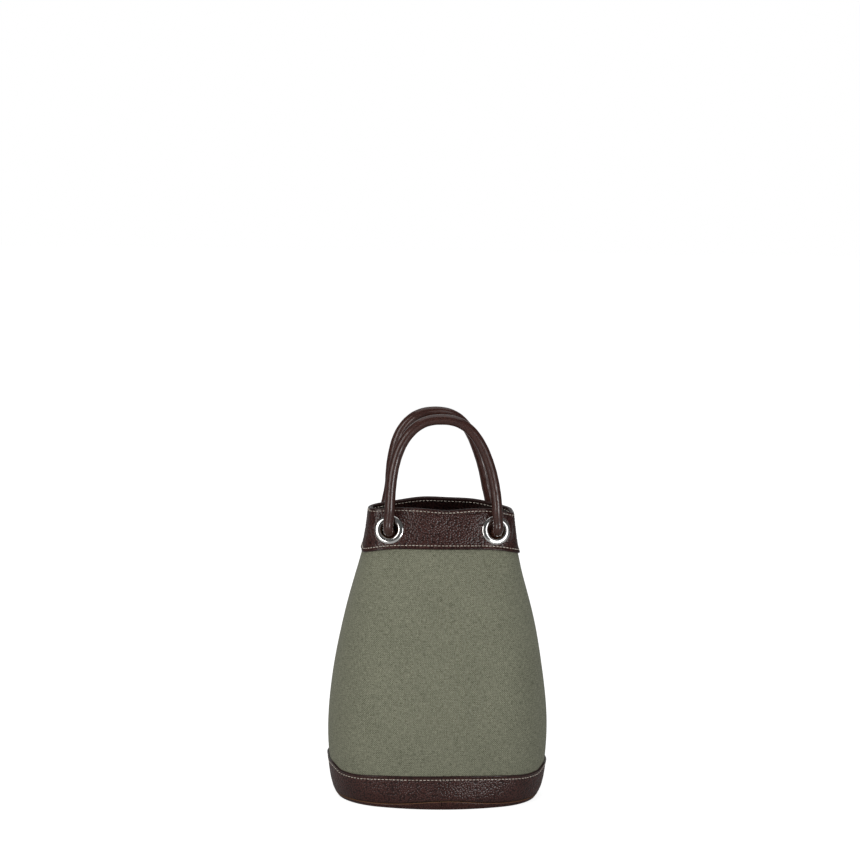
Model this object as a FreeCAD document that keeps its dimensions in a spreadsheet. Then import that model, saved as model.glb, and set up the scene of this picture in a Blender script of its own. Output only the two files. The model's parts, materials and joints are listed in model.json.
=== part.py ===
import FreeCAD, Part
import math
import os
import Sketcher
from FreeCAD import Placement, Rotation, Vector

# A free-standing bucket bag: an oval canvas body with leather bands at the mouth and the
# foot, and two rolled leather handles that come out of flanged eyelets.
# Millimetres. +Z is up, the front faces -Y, and the origin is the middle of the base, on
# the ground. Left is -X.

doc = FreeCAD.newDocument("bucket_bag")


# ---------------------------------------------------------------------------------------
# Driving dimensions
# ---------------------------------------------------------------------------------------

SIZES = [
    # The bag's outline, level by level, on the outside of the canvas.
    ("foot_height", 0.0),
    ("foot_half_width", 102.5),
    ("foot_half_depth", 75.0),
    ("seam_height", 9.0),
    ("seam_half_width", 108.0),
    ("seam_half_depth", 80.0),
    ("hem_height", 36.0),
    ("hem_half_width", 113.5),
    ("hem_half_depth", 85.0),
    ("belly_height", 70.0),
    ("belly_half_width", 115.5),
    ("belly_half_depth", 87.0),
    ("hip_height", 115.0),
    ("hip_half_width", 112.3),
    ("hip_half_depth", 84.0),
    ("waist_height", 165.0),
    ("waist_half_width", 104.2),
    ("waist_half_depth", 76.0),
    ("shoulder_height", 215.0),
    ("shoulder_half_width", 92.5),
    ("shoulder_half_depth", 62.5),
    ("top_band_depth", 45.0),
    ("collar_height", "=rim_height - top_band_depth"),
    ("collar_half_width", 80.7),
    ("collar_half_depth", 44.0),
    ("rim_height", 308.0),
    ("rim_half_width", 74.7),
    ("rim_half_depth", 32.5),
    # The front and rear walls bow gently, and a short flat runs along each side seam.
    ("wall_bow_radius", 260.0),
    ("side_flat_half", 12.0),
    # Layers, measured level.
    ("band_thickness", 1.6),
    ("canvas_thickness", 1.2),
    ("lining_thickness", 0.8),
    ("facing_thickness", 1.4),
    ("base_panel_thickness", 2.2),
    ("base_board_thickness", 2.5),
    ("base_lining_thickness", 0.8),
    ("strip_butt_gap", 0.4),
    # Eyelets and their washers.
    ("eyelet_drop", 22.0),
    ("eyelet_height", "=rim_height - eyelet_drop"),
    ("eyelet_half_spacing", 55.8),
    ("eyelet_hole_radius", 8.3),
    ("eyelet_metal", 0.7),
    ("eyelet_flange_radius", 15.0),
    ("eyelet_lip_height", 1.3),
    ("eyelet_dome_radius", 4.6),
    ("eyelet_roll_width", 1.6),
    ("eyelet_clearance", 0.15),
    ("washer_thickness", 0.8),
    ("washer_outer_radius", 13.5),
    # Rolled handles.
    ("handle_radius", 5.4),
    ("handle_core_radius", 3.4),
    ("handle_core_clearance", 0.05),
    ("handle_rise", 114.0),
    ("handle_top_radius", 44.0),
    ("handle_side_radius", 100.0),
    ("handle_lean", 3.5),
    ("handle_stand_off", 3.0),
    ("handle_pivot_gap", 0.8),
    # The flattened end of a handle, sewn to the facing below its eyelet.
    ("tab_width", 12.0),
    ("tab_thickness", 2.8),
    ("tab_length", 27.0),
    ("tab_gap", 0.2),
]

sheet = doc.addObject("Spreadsheet::Sheet", "Dims")
for row, (alias, number) in enumerate(SIZES, start=1):
    sheet.set(f"A{row}", alias)
    sheet.set(f"B{row}", str(number))
    sheet.setAlias(f"B{row}", alias)
doc.recompute()


def size(alias):
    """One driving dimension, as a number."""
    return float(sheet.get(alias))


# ---------------------------------------------------------------------------------------
# Outline of the bag at a level
# ---------------------------------------------------------------------------------------

LEVELS = ["foot", "seam", "hem", "belly", "hip", "waist", "shoulder", "collar", "eyelet", "rim"]


def level_text(level, kind):
    """Expression for a level's half width or half depth. The wall runs straight from the
    collar to the rim, so the eyelets' level lies on the line between them."""
    if level != "eyelet":
        return f"Dims.{level}_{kind}"
    share = "(Dims.eyelet_height - Dims.collar_height) / (Dims.rim_height - Dims.collar_height)"
    return f"Dims.collar_{kind} + (Dims.rim_{kind} - Dims.collar_{kind}) * {share}"


def level_number(level, kind):
    """The same size as a number."""
    if level != "eyelet":
        return size(f"{level}_{kind}")
    rise = size("rim_height") - size("collar_height")
    share = (size("eyelet_height") - size("collar_height")) / rise
    low = size(f"collar_{kind}")
    return low + (size(f"rim_{kind}") - low) * share


def growth_text(growth):
    """Expression for how far a skin lies outside the canvas."""
    return " + ".join(["0"] + [f"{sign} * Dims.{alias}" for alias, sign in growth.items()])


def growth_number(growth):
    """The same distance as a number."""
    return sum(sign * size(alias) for alias, sign in growth.items())


def arc(centre_x, centre_y, radius, start, end):
    """An arc in a sketch, anticlockwise between two angles in radians."""
    circle = Part.Circle(Vector(centre_x, centre_y, 0), Vector(0, 0, 1), radius)
    return Part.ArcOfCircle(circle, start, end)


def bind(sketch, constraint, name, expression):
    """Add a dimension to a sketch and tie it to the sheet."""
    index = sketch.addConstraint(constraint)
    sketch.renameConstraint(index, name)
    sketch.setExpression(f"Constraints.{name}", expression)


def outline(name, level, growth):
    """Closed outline of a skin at one level: bowed front and rear, flat side seams and
    a round corner between them that is tangent to both."""
    extra = growth_number(growth)
    bow = size("wall_bow_radius") + extra
    width = level_number(level, "half_width") + extra
    depth = level_number(level, "half_depth") + extra
    flat = size("side_flat_half")
    corner = (bow**2 - width**2 - (bow - depth + flat) ** 2) / (2 * (bow - width))
    corner_x = width - corner
    half_span = math.atan2(corner_x, bow - depth + flat)
    quarter = math.pi / 2

    sketch = doc.addObject("Sketcher::SketchObject", name)
    sketch.addGeometry(arc(0, bow - depth, bow, -quarter - half_span, -quarter + half_span))
    sketch.addGeometry(arc(corner_x, -flat, corner, -quarter + half_span, 0))
    sketch.addGeometry(Part.LineSegment(Vector(width, -flat, 0), Vector(width, flat, 0)))
    sketch.addGeometry(arc(corner_x, flat, corner, 0, quarter - half_span))
    sketch.addGeometry(arc(0, depth - bow, bow, quarter - half_span, quarter + half_span))
    sketch.addGeometry(arc(-corner_x, flat, corner, quarter + half_span, math.pi))
    sketch.addGeometry(Part.LineSegment(Vector(-width, flat, 0), Vector(-width, -flat, 0)))
    sketch.addGeometry(arc(-corner_x, -flat, corner, math.pi, 3 * quarter - half_span))
    front, right, rear, left = 0, 2, 4, 6
    start, end, centre = 1, 2, 3
    x_axis, y_axis = -1, -2
    edges = 8
    for edge in range(edges):
        sketch.addConstraint(Sketcher.Constraint("Tangent", edge, end, (edge + 1) % edges, start))
    sketch.addConstraint(Sketcher.Constraint("PointOnObject", front, centre, y_axis))
    sketch.addConstraint(Sketcher.Constraint("Symmetric", front, centre, rear, centre, x_axis, start))
    sketch.addConstraint(Sketcher.Constraint("Equal", front, rear))
    sketch.addConstraint(Sketcher.Constraint("Symmetric", right, start, right, end, x_axis))
    sketch.addConstraint(Sketcher.Constraint("Symmetric", right, end, left, start, y_axis))
    sketch.addConstraint(Sketcher.Constraint("Symmetric", right, start, left, end, y_axis))
    out = growth_text(growth)
    bind(sketch, Sketcher.Constraint("Radius", front, bow), "bow", f"Dims.wall_bow_radius + {out}")
    bind(
        sketch,
        Sketcher.Constraint("DistanceY", x_axis, start, front, centre, bow - depth),
        "bow_centre",
        f"Dims.wall_bow_radius - ({level_text(level, 'half_depth')})",
    )
    bind(
        sketch,
        Sketcher.Constraint("DistanceX", x_axis, start, right, start, width),
        "half_width",
        f"{level_text(level, 'half_width')} + {out}",
    )
    bind(
        sketch,
        Sketcher.Constraint("DistanceY", right, start, right, end, 2 * flat),
        "side_flat",
        "2 * Dims.side_flat_half",
    )
    sketch.setExpression("Placement.Base.z", f"Dims.{level}_height")
    return sketch


def skin(name, growth, levels=LEVELS):
    """Solid whose surface is one skin of the bag, lofted through its outlines."""
    loft = doc.addObject("Part::Loft", name)
    loft.Sections = [outline(f"{name}_{level}", level, growth) for level in levels]
    loft.Solid = True
    loft.Ruled = False
    return loft


outer_skin = skin("outer_skin", {"band_thickness": 1})
canvas_skin = skin("canvas_skin", {})
lining_skin = skin("lining_skin", {"canvas_thickness": -1})
inside_skin = skin("inside_skin", {"canvas_thickness": -1, "lining_thickness": -1})
mouth_skin = skin("mouth_skin", {"canvas_thickness": -1, "facing_thickness": -1})


# ---------------------------------------------------------------------------------------
# Cutting pieces out of the layers
# ---------------------------------------------------------------------------------------


def cut(name, base, tool):
    """One object less another."""
    result = doc.addObject("Part::Cut", name)
    result.Base = base
    result.Tool = tool
    return result


def common(name, base, tool):
    """What two objects share."""
    result = doc.addObject("Part::Common", name)
    result.Base = base
    result.Tool = tool
    return result


REACH = "2 * Dims.belly_half_width"


def slab(name, low, high, side):
    """A level slice of space between two heights: the whole bag, or its front or rear half."""
    box = doc.addObject("Part::Box", name)
    box.setExpression("Length", f"2 * {REACH}")
    box.setExpression("Width", f"{REACH}" if side in ("front", "rear") else f"2 * {REACH}")
    box.setExpression("Height", f"{high} - ({low})")
    box.setExpression("Placement.Base.x", f"-({REACH})")
    box.setExpression("Placement.Base.y", "0" if side == "rear" else f"-({REACH})")
    box.setExpression("Placement.Base.z", low)
    return box


nodes = []


def keep(label, thing):
    """Name a finished piece. Its label is its file's name."""
    thing.Label = label
    nodes.append(thing)
    return thing


band_wall = cut("band_wall", outer_skin, canvas_skin)
canvas_wall = cut("canvas_wall", canvas_skin, lining_skin)
lining_wall = cut("lining_wall", lining_skin, inside_skin)
facing_wall = cut("facing_wall", lining_skin, mouth_skin)

BOARD_TOP = "Dims.base_panel_thickness + Dims.base_board_thickness"
FLOOR_TOP = f"{BOARD_TOP} + Dims.base_lining_thickness"


# ---------------------------------------------------------------------------------------
# The base
# ---------------------------------------------------------------------------------------

panel_slab = slab("base_panel_slab", "Dims.foot_height", "Dims.base_panel_thickness", "whole")
keep("base_panel", common("base_panel_piece", canvas_skin, panel_slab))

board_slab = slab("base_board_slab", "Dims.base_panel_thickness", BOARD_TOP, "whole")
keep("base_board", common("base_board_piece", lining_skin, board_slab))

floor_slab = slab("base_lining_slab", BOARD_TOP, FLOOR_TOP, "whole")
keep("base_lining", common("base_lining_piece", lining_skin, floor_slab))

# The strip goes once round the foot, and its two ends meet at the front centre.
strip_slab = slab("base_strip_slab", "Dims.foot_height", "Dims.seam_height", "whole")
strip_ring = common("base_strip_ring", band_wall, strip_slab)
butt = doc.addObject("Part::Box", "base_strip_butt")
butt.setExpression("Length", "Dims.strip_butt_gap")
butt.setExpression("Width", REACH)
butt.setExpression("Height", "Dims.seam_height - Dims.foot_height")
butt.setExpression("Placement.Base.x", "-Dims.strip_butt_gap / 2")
butt.setExpression("Placement.Base.y", f"-({REACH})")
butt.setExpression("Placement.Base.z", "Dims.foot_height")
keep("base_strip", cut("base_strip_piece", strip_ring, butt))


# ---------------------------------------------------------------------------------------
# Where the eyelets sit
# ---------------------------------------------------------------------------------------


def eyelet_seat(face, side):
    """Placement of an eyelet on the outside of the top band: its local +Z points out
    along the eyelet, and its local +Y points up the wall. side is -1 left, +1 right."""
    if face == "rear":
        return Placement(Vector(0, 0, 0), Rotation(Vector(0, 0, 1), 180)) * eyelet_seat("front", -side)
    across = size("eyelet_half_spacing")
    radius = size("wall_bow_radius") + size("band_thickness")
    bow_centre = size("wall_bow_radius") - level_number("eyelet", "half_depth")
    turn = math.degrees(math.asin(across / radius))
    taper = size("collar_half_depth") - size("rim_half_depth")
    tilt = math.degrees(math.atan2(taper, size("rim_height") - size("collar_height")))
    place = Vector(side * across, bow_centre - math.sqrt(radius**2 - across**2), size("eyelet_height"))
    return Placement(place, Rotation(Vector(0, 0, 1), side * turn) * Rotation(Vector(1, 0, 0), 90 - tilt))


def eyelet_place(face, side, depth):
    """The same place, moved along the eyelet by depth."""
    return eyelet_seat(face, side) * Placement(Vector(0, 0, depth), Rotation())


SIDES = {"left": -1, "right": 1}
FACES = ["front", "rear"]
WALL = "Dims.band_thickness + Dims.canvas_thickness + Dims.facing_thickness"
wall_thickness = size("band_thickness") + size("canvas_thickness") + size("facing_thickness")


def drills(face, role, radius, depth, height):
    """A tool of two cylinders on the axes of one face's eyelets, starting at a depth."""
    pair = []
    for side_name, side in SIDES.items():
        drill = doc.addObject("Part::Cylinder", f"{role}_{face}_{side_name}")
        drill.setExpression("Radius", f"{radius} + Dims.eyelet_clearance")
        drill.setExpression("Height", height)
        drill.Placement = eyelet_place(face, side, depth)
        pair.append(drill)
    tool = doc.addObject("Part::MultiFuse", f"{role}s_{face}")
    tool.Shapes = pair
    return tool


# ---------------------------------------------------------------------------------------
# Walls: bands, canvas, lining and facing, each in a front and a rear half
# ---------------------------------------------------------------------------------------

# The wall curves, so its leather is pressed flat under each flange and each washer.
for face in FACES:
    barrel_radius = "Dims.eyelet_hole_radius + Dims.eyelet_metal"
    holes = drills(face, "hole", barrel_radius, -2 * wall_thickness, f"4 * ({WALL})")
    flange_seats = drills(face, "flange_seat", "Dims.eyelet_flange_radius", 0, WALL)
    washer_seats = drills(face, "washer_seat", "Dims.washer_outer_radius", -2 * wall_thickness, WALL)

    foot_slab = slab(f"bottom_band_{face}_slab", "Dims.seam_height", "Dims.hem_height", face)
    keep(f"bottom_band_{face}", common(f"bottom_band_{face}_piece", band_wall, foot_slab))

    body_slab = slab(f"canvas_{face}_slab", "Dims.base_panel_thickness", "Dims.rim_height", face)
    canvas_half = common(f"canvas_{face}_half", canvas_wall, body_slab)
    keep(f"canvas_{face}", cut(f"canvas_{face}_piece", canvas_half, holes))

    inner_slab = slab(f"lining_{face}_slab", FLOOR_TOP, "Dims.collar_height", face)
    keep(f"lining_{face}", common(f"lining_{face}_piece", lining_wall, inner_slab))

    mouth_slab = slab(f"mouth_{face}_slab", "Dims.collar_height", "Dims.rim_height", face)
    band_half = common(f"top_band_{face}_half", band_wall, mouth_slab)
    band_holed = cut(f"top_band_{face}_holed", band_half, holes)
    keep(f"top_band_{face}", cut(f"top_band_{face}_piece", band_holed, flange_seats))
    facing_half = common(f"facing_{face}_half", facing_wall, mouth_slab)
    facing_holed = cut(f"facing_{face}_holed", facing_half, holes)
    keep(f"facing_{face}", cut(f"facing_{face}_piece", facing_holed, washer_seats))


# ---------------------------------------------------------------------------------------
# PartDesign helpers
# ---------------------------------------------------------------------------------------


def new_body(label):
    """A body whose label is its node's name."""
    body = doc.addObject("PartDesign::Body", f"{label}_body")
    body.Label = label
    return body


def plane(body, role):
    """One of a body's own origin planes."""
    return next(item for item in body.Origin.OriginFeatures if item.Role == role)


def new_sketch(body, name, role):
    """An empty sketch on one of the body's origin planes."""
    sketch = body.newObject("Sketcher::SketchObject", name)
    sketch.AttachmentSupport = [(plane(body, role), "")]
    sketch.MapMode = "FlatFace"
    return sketch


def add_circle(sketch, name, radius, expression):
    """A circle about the sketch's origin, its radius tied to the sheet."""
    index = sketch.addGeometry(Part.Circle(Vector(0, 0, 0), Vector(0, 0, 1), radius))
    sketch.addConstraint(Sketcher.Constraint("Coincident", index, 3, -1, 1))
    bind(sketch, Sketcher.Constraint("Radius", index, radius), name, expression)


# ---------------------------------------------------------------------------------------
# Eyelets and washers
# ---------------------------------------------------------------------------------------


def add_polyline(sketch, points, arc_after, arc_centre):
    """Closed profile of straight edges, with one arc after the point numbered arc_after."""
    count = len(points)
    for index, point in enumerate(points):
        following = points[(index + 1) % count]
        if index == arc_after:
            begin = math.atan2(point.y - arc_centre.y, point.x - arc_centre.x)
            finish = math.atan2(following.y - arc_centre.y, following.x - arc_centre.x)
            radius = (point - arc_centre).Length
            sketch.addGeometry(arc(arc_centre.x, arc_centre.y, radius, begin, finish))
        else:
            sketch.addGeometry(Part.LineSegment(point, following))
    for index in range(count):
        sketch.addConstraint(Sketcher.Constraint("Coincident", index, 2, (index + 1) % count, 1))


def arc_centre_below(first, second, radius):
    """Centre of the arc of this radius from first to second that bulges upward."""
    middle = (first + second) * 0.5
    chord = second - first
    drop = math.sqrt(radius**2 - (chord.Length / 2) ** 2)
    return middle - Vector(chord.y, -chord.x, 0).normalize() * drop


def make_eyelet(label):
    """A flanged eyelet, turned about its axis: domed flange outside, barrel through the
    wall, and a rolled lip over the washer inside."""
    body = new_body(label)
    hole = size("eyelet_hole_radius")
    barrel = hole + size("eyelet_metal")
    lip = barrel + size("eyelet_roll_width")
    under_lip = -(wall_thickness + size("washer_thickness"))
    bottom = under_lip - size("eyelet_metal")
    points = [
        Vector(barrel, 0, 0),
        Vector(size("eyelet_flange_radius"), 0, 0),
        Vector(hole, size("eyelet_lip_height"), 0),
        Vector(hole, bottom, 0),
        Vector(lip, bottom, 0),
        Vector(lip, under_lip, 0),
        Vector(barrel, under_lip, 0),
    ]
    dome_radius = size("eyelet_dome_radius")
    centre = arc_centre_below(points[1], points[2], dome_radius)
    sketch = new_sketch(body, f"{label}_profile", "XZ_Plane")
    add_polyline(sketch, points, 1, centre)
    base, dome, bore, foot, roll, shelf, barrel_side = range(7)
    sketch.addConstraint(Sketcher.Constraint("PointOnObject", base, 1, -1))
    sketch.addConstraint(Sketcher.Constraint("Horizontal", base))
    sketch.addConstraint(Sketcher.Constraint("Vertical", bore))
    sketch.addConstraint(Sketcher.Constraint("Horizontal", foot))
    sketch.addConstraint(Sketcher.Constraint("Vertical", roll))
    sketch.addConstraint(Sketcher.Constraint("Horizontal", shelf))
    sketch.addConstraint(Sketcher.Constraint("Vertical", barrel_side))
    barrel_text = "Dims.eyelet_hole_radius + Dims.eyelet_metal"
    across = [
        ("barrel", base, barrel, barrel_text),
        ("flange", dome, points[1].x, "Dims.eyelet_flange_radius"),
        ("hole", bore, hole, "Dims.eyelet_hole_radius"),
        ("lip", roll, lip, f"{barrel_text} + Dims.eyelet_roll_width"),
    ]
    for name, edge, distance, expression in across:
        bind(sketch, Sketcher.Constraint("DistanceX", -1, 1, edge, 1, distance), name, expression)
    top = Sketcher.Constraint("DistanceY", -1, 1, bore, 1, size("eyelet_lip_height"))
    bind(sketch, top, "lip_height", "Dims.eyelet_lip_height")
    depth = Sketcher.Constraint("DistanceY", foot, 1, -1, 1, -bottom)
    bind(sketch, depth, "depth", f"{WALL} + Dims.washer_thickness + Dims.eyelet_metal")
    metal = Sketcher.Constraint("DistanceY", roll, 1, roll, 2, size("eyelet_metal"))
    bind(sketch, metal, "metal", "Dims.eyelet_metal")
    bind(sketch, Sketcher.Constraint("Radius", dome, dome_radius), "dome", "Dims.eyelet_dome_radius")
    turned = body.newObject("PartDesign::Revolution", f"{label}_turned")
    turned.Profile = sketch
    turned.ReferenceAxis = (sketch, ["V_Axis"])
    turned.Angle = 360.0
    return body


def make_washer(label):
    """A flat ring round the eyelet's barrel."""
    body = new_body(label)
    sketch = new_sketch(body, f"{label}_ring", "XY_Plane")
    inner = size("eyelet_hole_radius") + size("eyelet_metal") + size("eyelet_clearance")
    inner_text = "Dims.eyelet_hole_radius + Dims.eyelet_metal + Dims.eyelet_clearance"
    add_circle(sketch, "outer", size("washer_outer_radius"), "Dims.washer_outer_radius")
    add_circle(sketch, "inner", inner, inner_text)
    pad = body.newObject("PartDesign::Pad", f"{label}_pad")
    pad.Profile = sketch
    pad.setExpression("Length", "Dims.washer_thickness")
    return body


for face in FACES:
    for side_name, side in SIDES.items():
        eyelet = keep(f"eyelet_{face}_{side_name}", make_eyelet(f"eyelet_{face}_{side_name}"))
        eyelet.Placement = eyelet_seat(face, side)
        washer = keep(f"eyelet_washer_{face}_{side_name}", make_washer(f"eyelet_washer_{face}_{side_name}"))
        washer.Placement = eyelet_place(face, side, -(wall_thickness + size("washer_thickness")))


# ---------------------------------------------------------------------------------------
# Handle ends, sewn in
# ---------------------------------------------------------------------------------------

# A handle turns about a point just outside its eyelets: far enough out for its round end
# to clear the flange.
PIVOT_OUT = "Dims.handle_stand_off + Dims.handle_radius"
pivot_out = size("handle_stand_off") + size("handle_radius")
TAB_FACE = f"{WALL} + Dims.washer_thickness + Dims.eyelet_metal + Dims.tab_gap"


def make_handle_end(label):
    """The end of a roll: it goes in through the eyelet, then turns down as a flat tab."""
    body = new_body(label)
    circle = new_sketch(body, f"{label}_roll", "XY_Plane")
    add_circle(circle, "roll", size("handle_radius"), "Dims.handle_radius")
    roll = body.newObject("PartDesign::Pad", f"{label}_roll_pad")
    roll.Profile = circle
    roll.SideType = "Two sides"
    roll.setExpression("Length", "Dims.handle_stand_off - Dims.handle_pivot_gap")
    roll.setExpression("Length2", f"{TAB_FACE} + Dims.tab_thickness")

    tab_sketch = new_sketch(body, f"{label}_tab", "XY_Plane")
    tab_sketch.setExpression("AttachmentOffset.Base.z", f"-({TAB_FACE} + Dims.tab_thickness)")
    half = size("tab_width") / 2
    run = size("tab_length") - half
    tab_sketch.addGeometry(arc(0, 0, half, 0, math.pi))
    tab_sketch.addGeometry(Part.LineSegment(Vector(-half, 0, 0), Vector(-half, -run, 0)))
    tab_sketch.addGeometry(arc(0, -run, half, math.pi, 2 * math.pi))
    tab_sketch.addGeometry(Part.LineSegment(Vector(half, -run, 0), Vector(half, 0, 0)))
    for edge in range(4):
        tab_sketch.addConstraint(Sketcher.Constraint("Tangent", edge, 2, (edge + 1) % 4, 1))
    tab_sketch.addConstraint(Sketcher.Constraint("Coincident", 0, 3, -1, 1))
    tab_sketch.addConstraint(Sketcher.Constraint("Vertical", 1))
    bind(tab_sketch, Sketcher.Constraint("Radius", 0, half), "half_width", "Dims.tab_width / 2")
    length = Sketcher.Constraint("DistanceY", 2, 3, -1, 1, run)
    bind(tab_sketch, length, "run", "Dims.tab_length - Dims.tab_width / 2")
    tab = body.newObject("PartDesign::Pad", f"{label}_tab_pad")
    tab.Profile = tab_sketch
    tab.setExpression("Length", "Dims.tab_thickness")
    return body


for face in FACES:
    for side_name, side in SIDES.items():
        handle_end = keep(f"handle_end_{face}_{side_name}", make_handle_end(f"handle_end_{face}_{side_name}"))
        handle_end.Placement = eyelet_seat(face, side)


# ---------------------------------------------------------------------------------------
# Handles
# ---------------------------------------------------------------------------------------


def pivot_point():
    """Where the front handle's right end turns."""
    return eyelet_place("front", 1, pivot_out).Base


def spine_sketch(body, label):
    """Centreline of a handle in its own upright plane, from end to end: straight legs, two
    side arcs and a tighter arc over the top, each tangent to the next."""
    across = pivot_point().x
    rise = size("handle_rise")
    top = size("handle_top_radius")
    side = size("handle_side_radius")
    # Start from upright legs; the constraints then lean them in until all are tangent.
    spring = across
    top_centre = rise - top
    reach = math.sqrt((side - top) ** 2 - (side - spring) ** 2)
    spring_height = top_centre - reach
    swing = math.atan2(reach, side - spring)
    sketch = new_sketch(body, f"{label}_spine", "XZ_Plane")
    sketch.addGeometry(Part.LineSegment(Vector(across, 0, 0), Vector(spring, spring_height, 0)))
    sketch.addGeometry(arc(spring - side, spring_height, side, 0, swing))
    sketch.addGeometry(arc(0, top_centre, top, swing, math.pi - swing))
    sketch.addGeometry(arc(side - spring, spring_height, side, math.pi - swing, math.pi))
    sketch.addGeometry(Part.LineSegment(Vector(-spring, spring_height, 0), Vector(-across, 0, 0)))
    for edge in range(4):
        sketch.addConstraint(Sketcher.Constraint("Tangent", edge, 2, edge + 1, 1))
    sketch.addConstraint(Sketcher.Constraint("PointOnObject", 0, 1, -1))
    sketch.addConstraint(Sketcher.Constraint("Symmetric", 0, 1, 4, 2, -2))
    sketch.addConstraint(Sketcher.Constraint("PointOnObject", 2, 3, -2))
    sketch.addConstraint(Sketcher.Constraint("Equal", 1, 3))
    bind(sketch, Sketcher.Constraint("Radius", 2, top), "top_radius", "Dims.handle_top_radius")
    bind(sketch, Sketcher.Constraint("Radius", 1, side), "side_radius", "Dims.handle_side_radius")
    crown = Sketcher.Constraint("DistanceY", -1, 1, 2, 3, top_centre)
    bind(sketch, crown, "top_centre", "Dims.handle_rise - Dims.handle_top_radius")
    index = sketch.addConstraint(Sketcher.Constraint("DistanceX", -1, 1, 0, 1, across))
    sketch.renameConstraint(index, "pivot_half_spacing")
    return sketch


def pipe(body, name, kind, spine, radius, expression):
    """A round pipe along the spine, added to the body or taken from it."""
    profile = new_sketch(body, f"{name}_circle", "XY_Plane")
    across = pivot_point().x
    index = profile.addGeometry(Part.Circle(Vector(across, 0, 0), Vector(0, 0, 1), radius))
    profile.addConstraint(Sketcher.Constraint("PointOnObject", index, 3, -1))
    profile.addConstraint(Sketcher.Constraint("DistanceX", -1, 1, index, 3, across))
    bind(profile, Sketcher.Constraint("Radius", index, radius), "radius", expression)
    feature = body.newObject(kind, name)
    feature.Profile = profile
    feature.Spine = (spine, [f"Edge{number}" for number in range(1, 6)])
    return feature


def make_handle_cover(label):
    """The leather of a rolled handle: a round tube with closed round ends."""
    body = new_body(label)
    spine = spine_sketch(body, label)
    pipe(body, f"{label}_roll", "PartDesign::AdditivePipe", spine, size("handle_radius"), "Dims.handle_radius")
    for side_name, side in SIDES.items():
        end = body.newObject("PartDesign::AdditiveSphere", f"{label}_{side_name}_end")
        end.AttachmentSupport = [(plane(body, "XY_Plane"), "")]
        end.MapMode = "FlatFace"
        end.AttachmentOffset = Placement(Vector(side * pivot_point().x, 0, 0), Rotation())
        end.setExpression("Radius", "Dims.handle_radius")
    doc.recompute()
    full = body.Shape.Volume
    bore = size("handle_core_radius") + size("handle_core_clearance")
    bore_text = "Dims.handle_core_radius + Dims.handle_core_clearance"
    pipe(body, f"{label}_bore", "PartDesign::SubtractivePipe", spine, bore, bore_text)
    doc.recompute()
    removed = full - body.Shape.Volume
    if removed < math.pi * bore**2 * size("handle_rise"):
        raise RuntimeError(f"{label}: the bore for its core was not cut")
    return body


def make_handle_core(label):
    """The cord inside a rolled handle."""
    body = new_body(label)
    spine = spine_sketch(body, label)
    radius = size("handle_core_radius")
    pipe(body, f"{label}_cord", "PartDesign::AdditivePipe", spine, radius, "Dims.handle_core_radius")
    return body


def handle_place(face):
    """The handle's own frame in the bag: its origin midway between its two pivots."""
    pivot = pivot_point()
    lean = Rotation(Vector(1, 0, 0), -size("handle_lean"))
    front = Placement(Vector(0, pivot.y, pivot.z), lean)
    if face == "front":
        return front
    return Placement(Vector(0, 0, 0), Rotation(Vector(0, 0, 1), 180)) * front


for face in FACES:
    cover = keep(f"{face}_handle_cover", make_handle_cover(f"{face}_handle_cover"))
    cover.Placement = handle_place(face)
    core = keep(f"{face}_handle_core", make_handle_core(f"{face}_handle_core"))
    core.Placement = handle_place(face)


# ---------------------------------------------------------------------------------------
# Check and write
# ---------------------------------------------------------------------------------------

doc.recompute()

for thing in doc.Objects:
    if "Invalid" in thing.State or "Error" in thing.State:
        raise RuntimeError(f"{thing.Name} failed: {thing.State}")

os.makedirs("parts", exist_ok=True)
for node in nodes:
    shape = node.Shape
    if shape.isNull() or not shape.isValid() or not shape.Solids:
        raise RuntimeError(f"{node.Label} has no valid solid")
    shape.exportStep(f"parts/{node.Label}.step")
    print(f"{node.Label}: {len(shape.Solids)} solid, {shape.Volume / 1000:.2f} cm3")

pivot = pivot_point()
print(f"handle pivots at x {pivot.x:.3f}, y {pivot.y:.3f}, z {pivot.z:.3f}")
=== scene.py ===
# %% [markdown]
# # A canvas and leather bucket bag
#
# The real bag is a soft oval bucket: canvas walls, leather bands at the mouth and the foot,
# four metal eyelets and two rolled leather handles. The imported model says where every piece
# is and how the handles turn. This lesson loads that model, measures it, and makes a finished
# piece for each part of it. Everything is in metres, with the front of the bag towards -Y.

import json
import math

import bmesh
import bpy
import numpy as np
from mathutils import Matrix, Vector
from mathutils.bvhtree import BVHTree


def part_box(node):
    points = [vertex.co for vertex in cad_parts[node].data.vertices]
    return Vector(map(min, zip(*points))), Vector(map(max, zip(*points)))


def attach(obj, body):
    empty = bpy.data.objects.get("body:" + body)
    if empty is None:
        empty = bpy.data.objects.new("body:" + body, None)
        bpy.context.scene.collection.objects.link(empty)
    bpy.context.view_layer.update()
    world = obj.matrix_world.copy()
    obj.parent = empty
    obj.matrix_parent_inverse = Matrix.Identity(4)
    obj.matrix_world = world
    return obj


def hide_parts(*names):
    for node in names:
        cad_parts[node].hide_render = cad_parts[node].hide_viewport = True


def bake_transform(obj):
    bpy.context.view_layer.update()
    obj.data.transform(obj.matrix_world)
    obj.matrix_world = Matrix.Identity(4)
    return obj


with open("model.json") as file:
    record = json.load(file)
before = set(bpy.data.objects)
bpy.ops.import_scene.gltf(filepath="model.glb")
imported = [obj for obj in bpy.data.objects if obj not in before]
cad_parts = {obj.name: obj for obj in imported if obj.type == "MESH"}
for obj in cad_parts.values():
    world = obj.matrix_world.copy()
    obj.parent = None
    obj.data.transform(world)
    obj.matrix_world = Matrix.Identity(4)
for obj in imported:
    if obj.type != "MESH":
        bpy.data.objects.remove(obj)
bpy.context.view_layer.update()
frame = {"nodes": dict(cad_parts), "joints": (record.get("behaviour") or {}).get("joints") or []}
scene = bpy.context.scene
MM = 0.001

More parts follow.
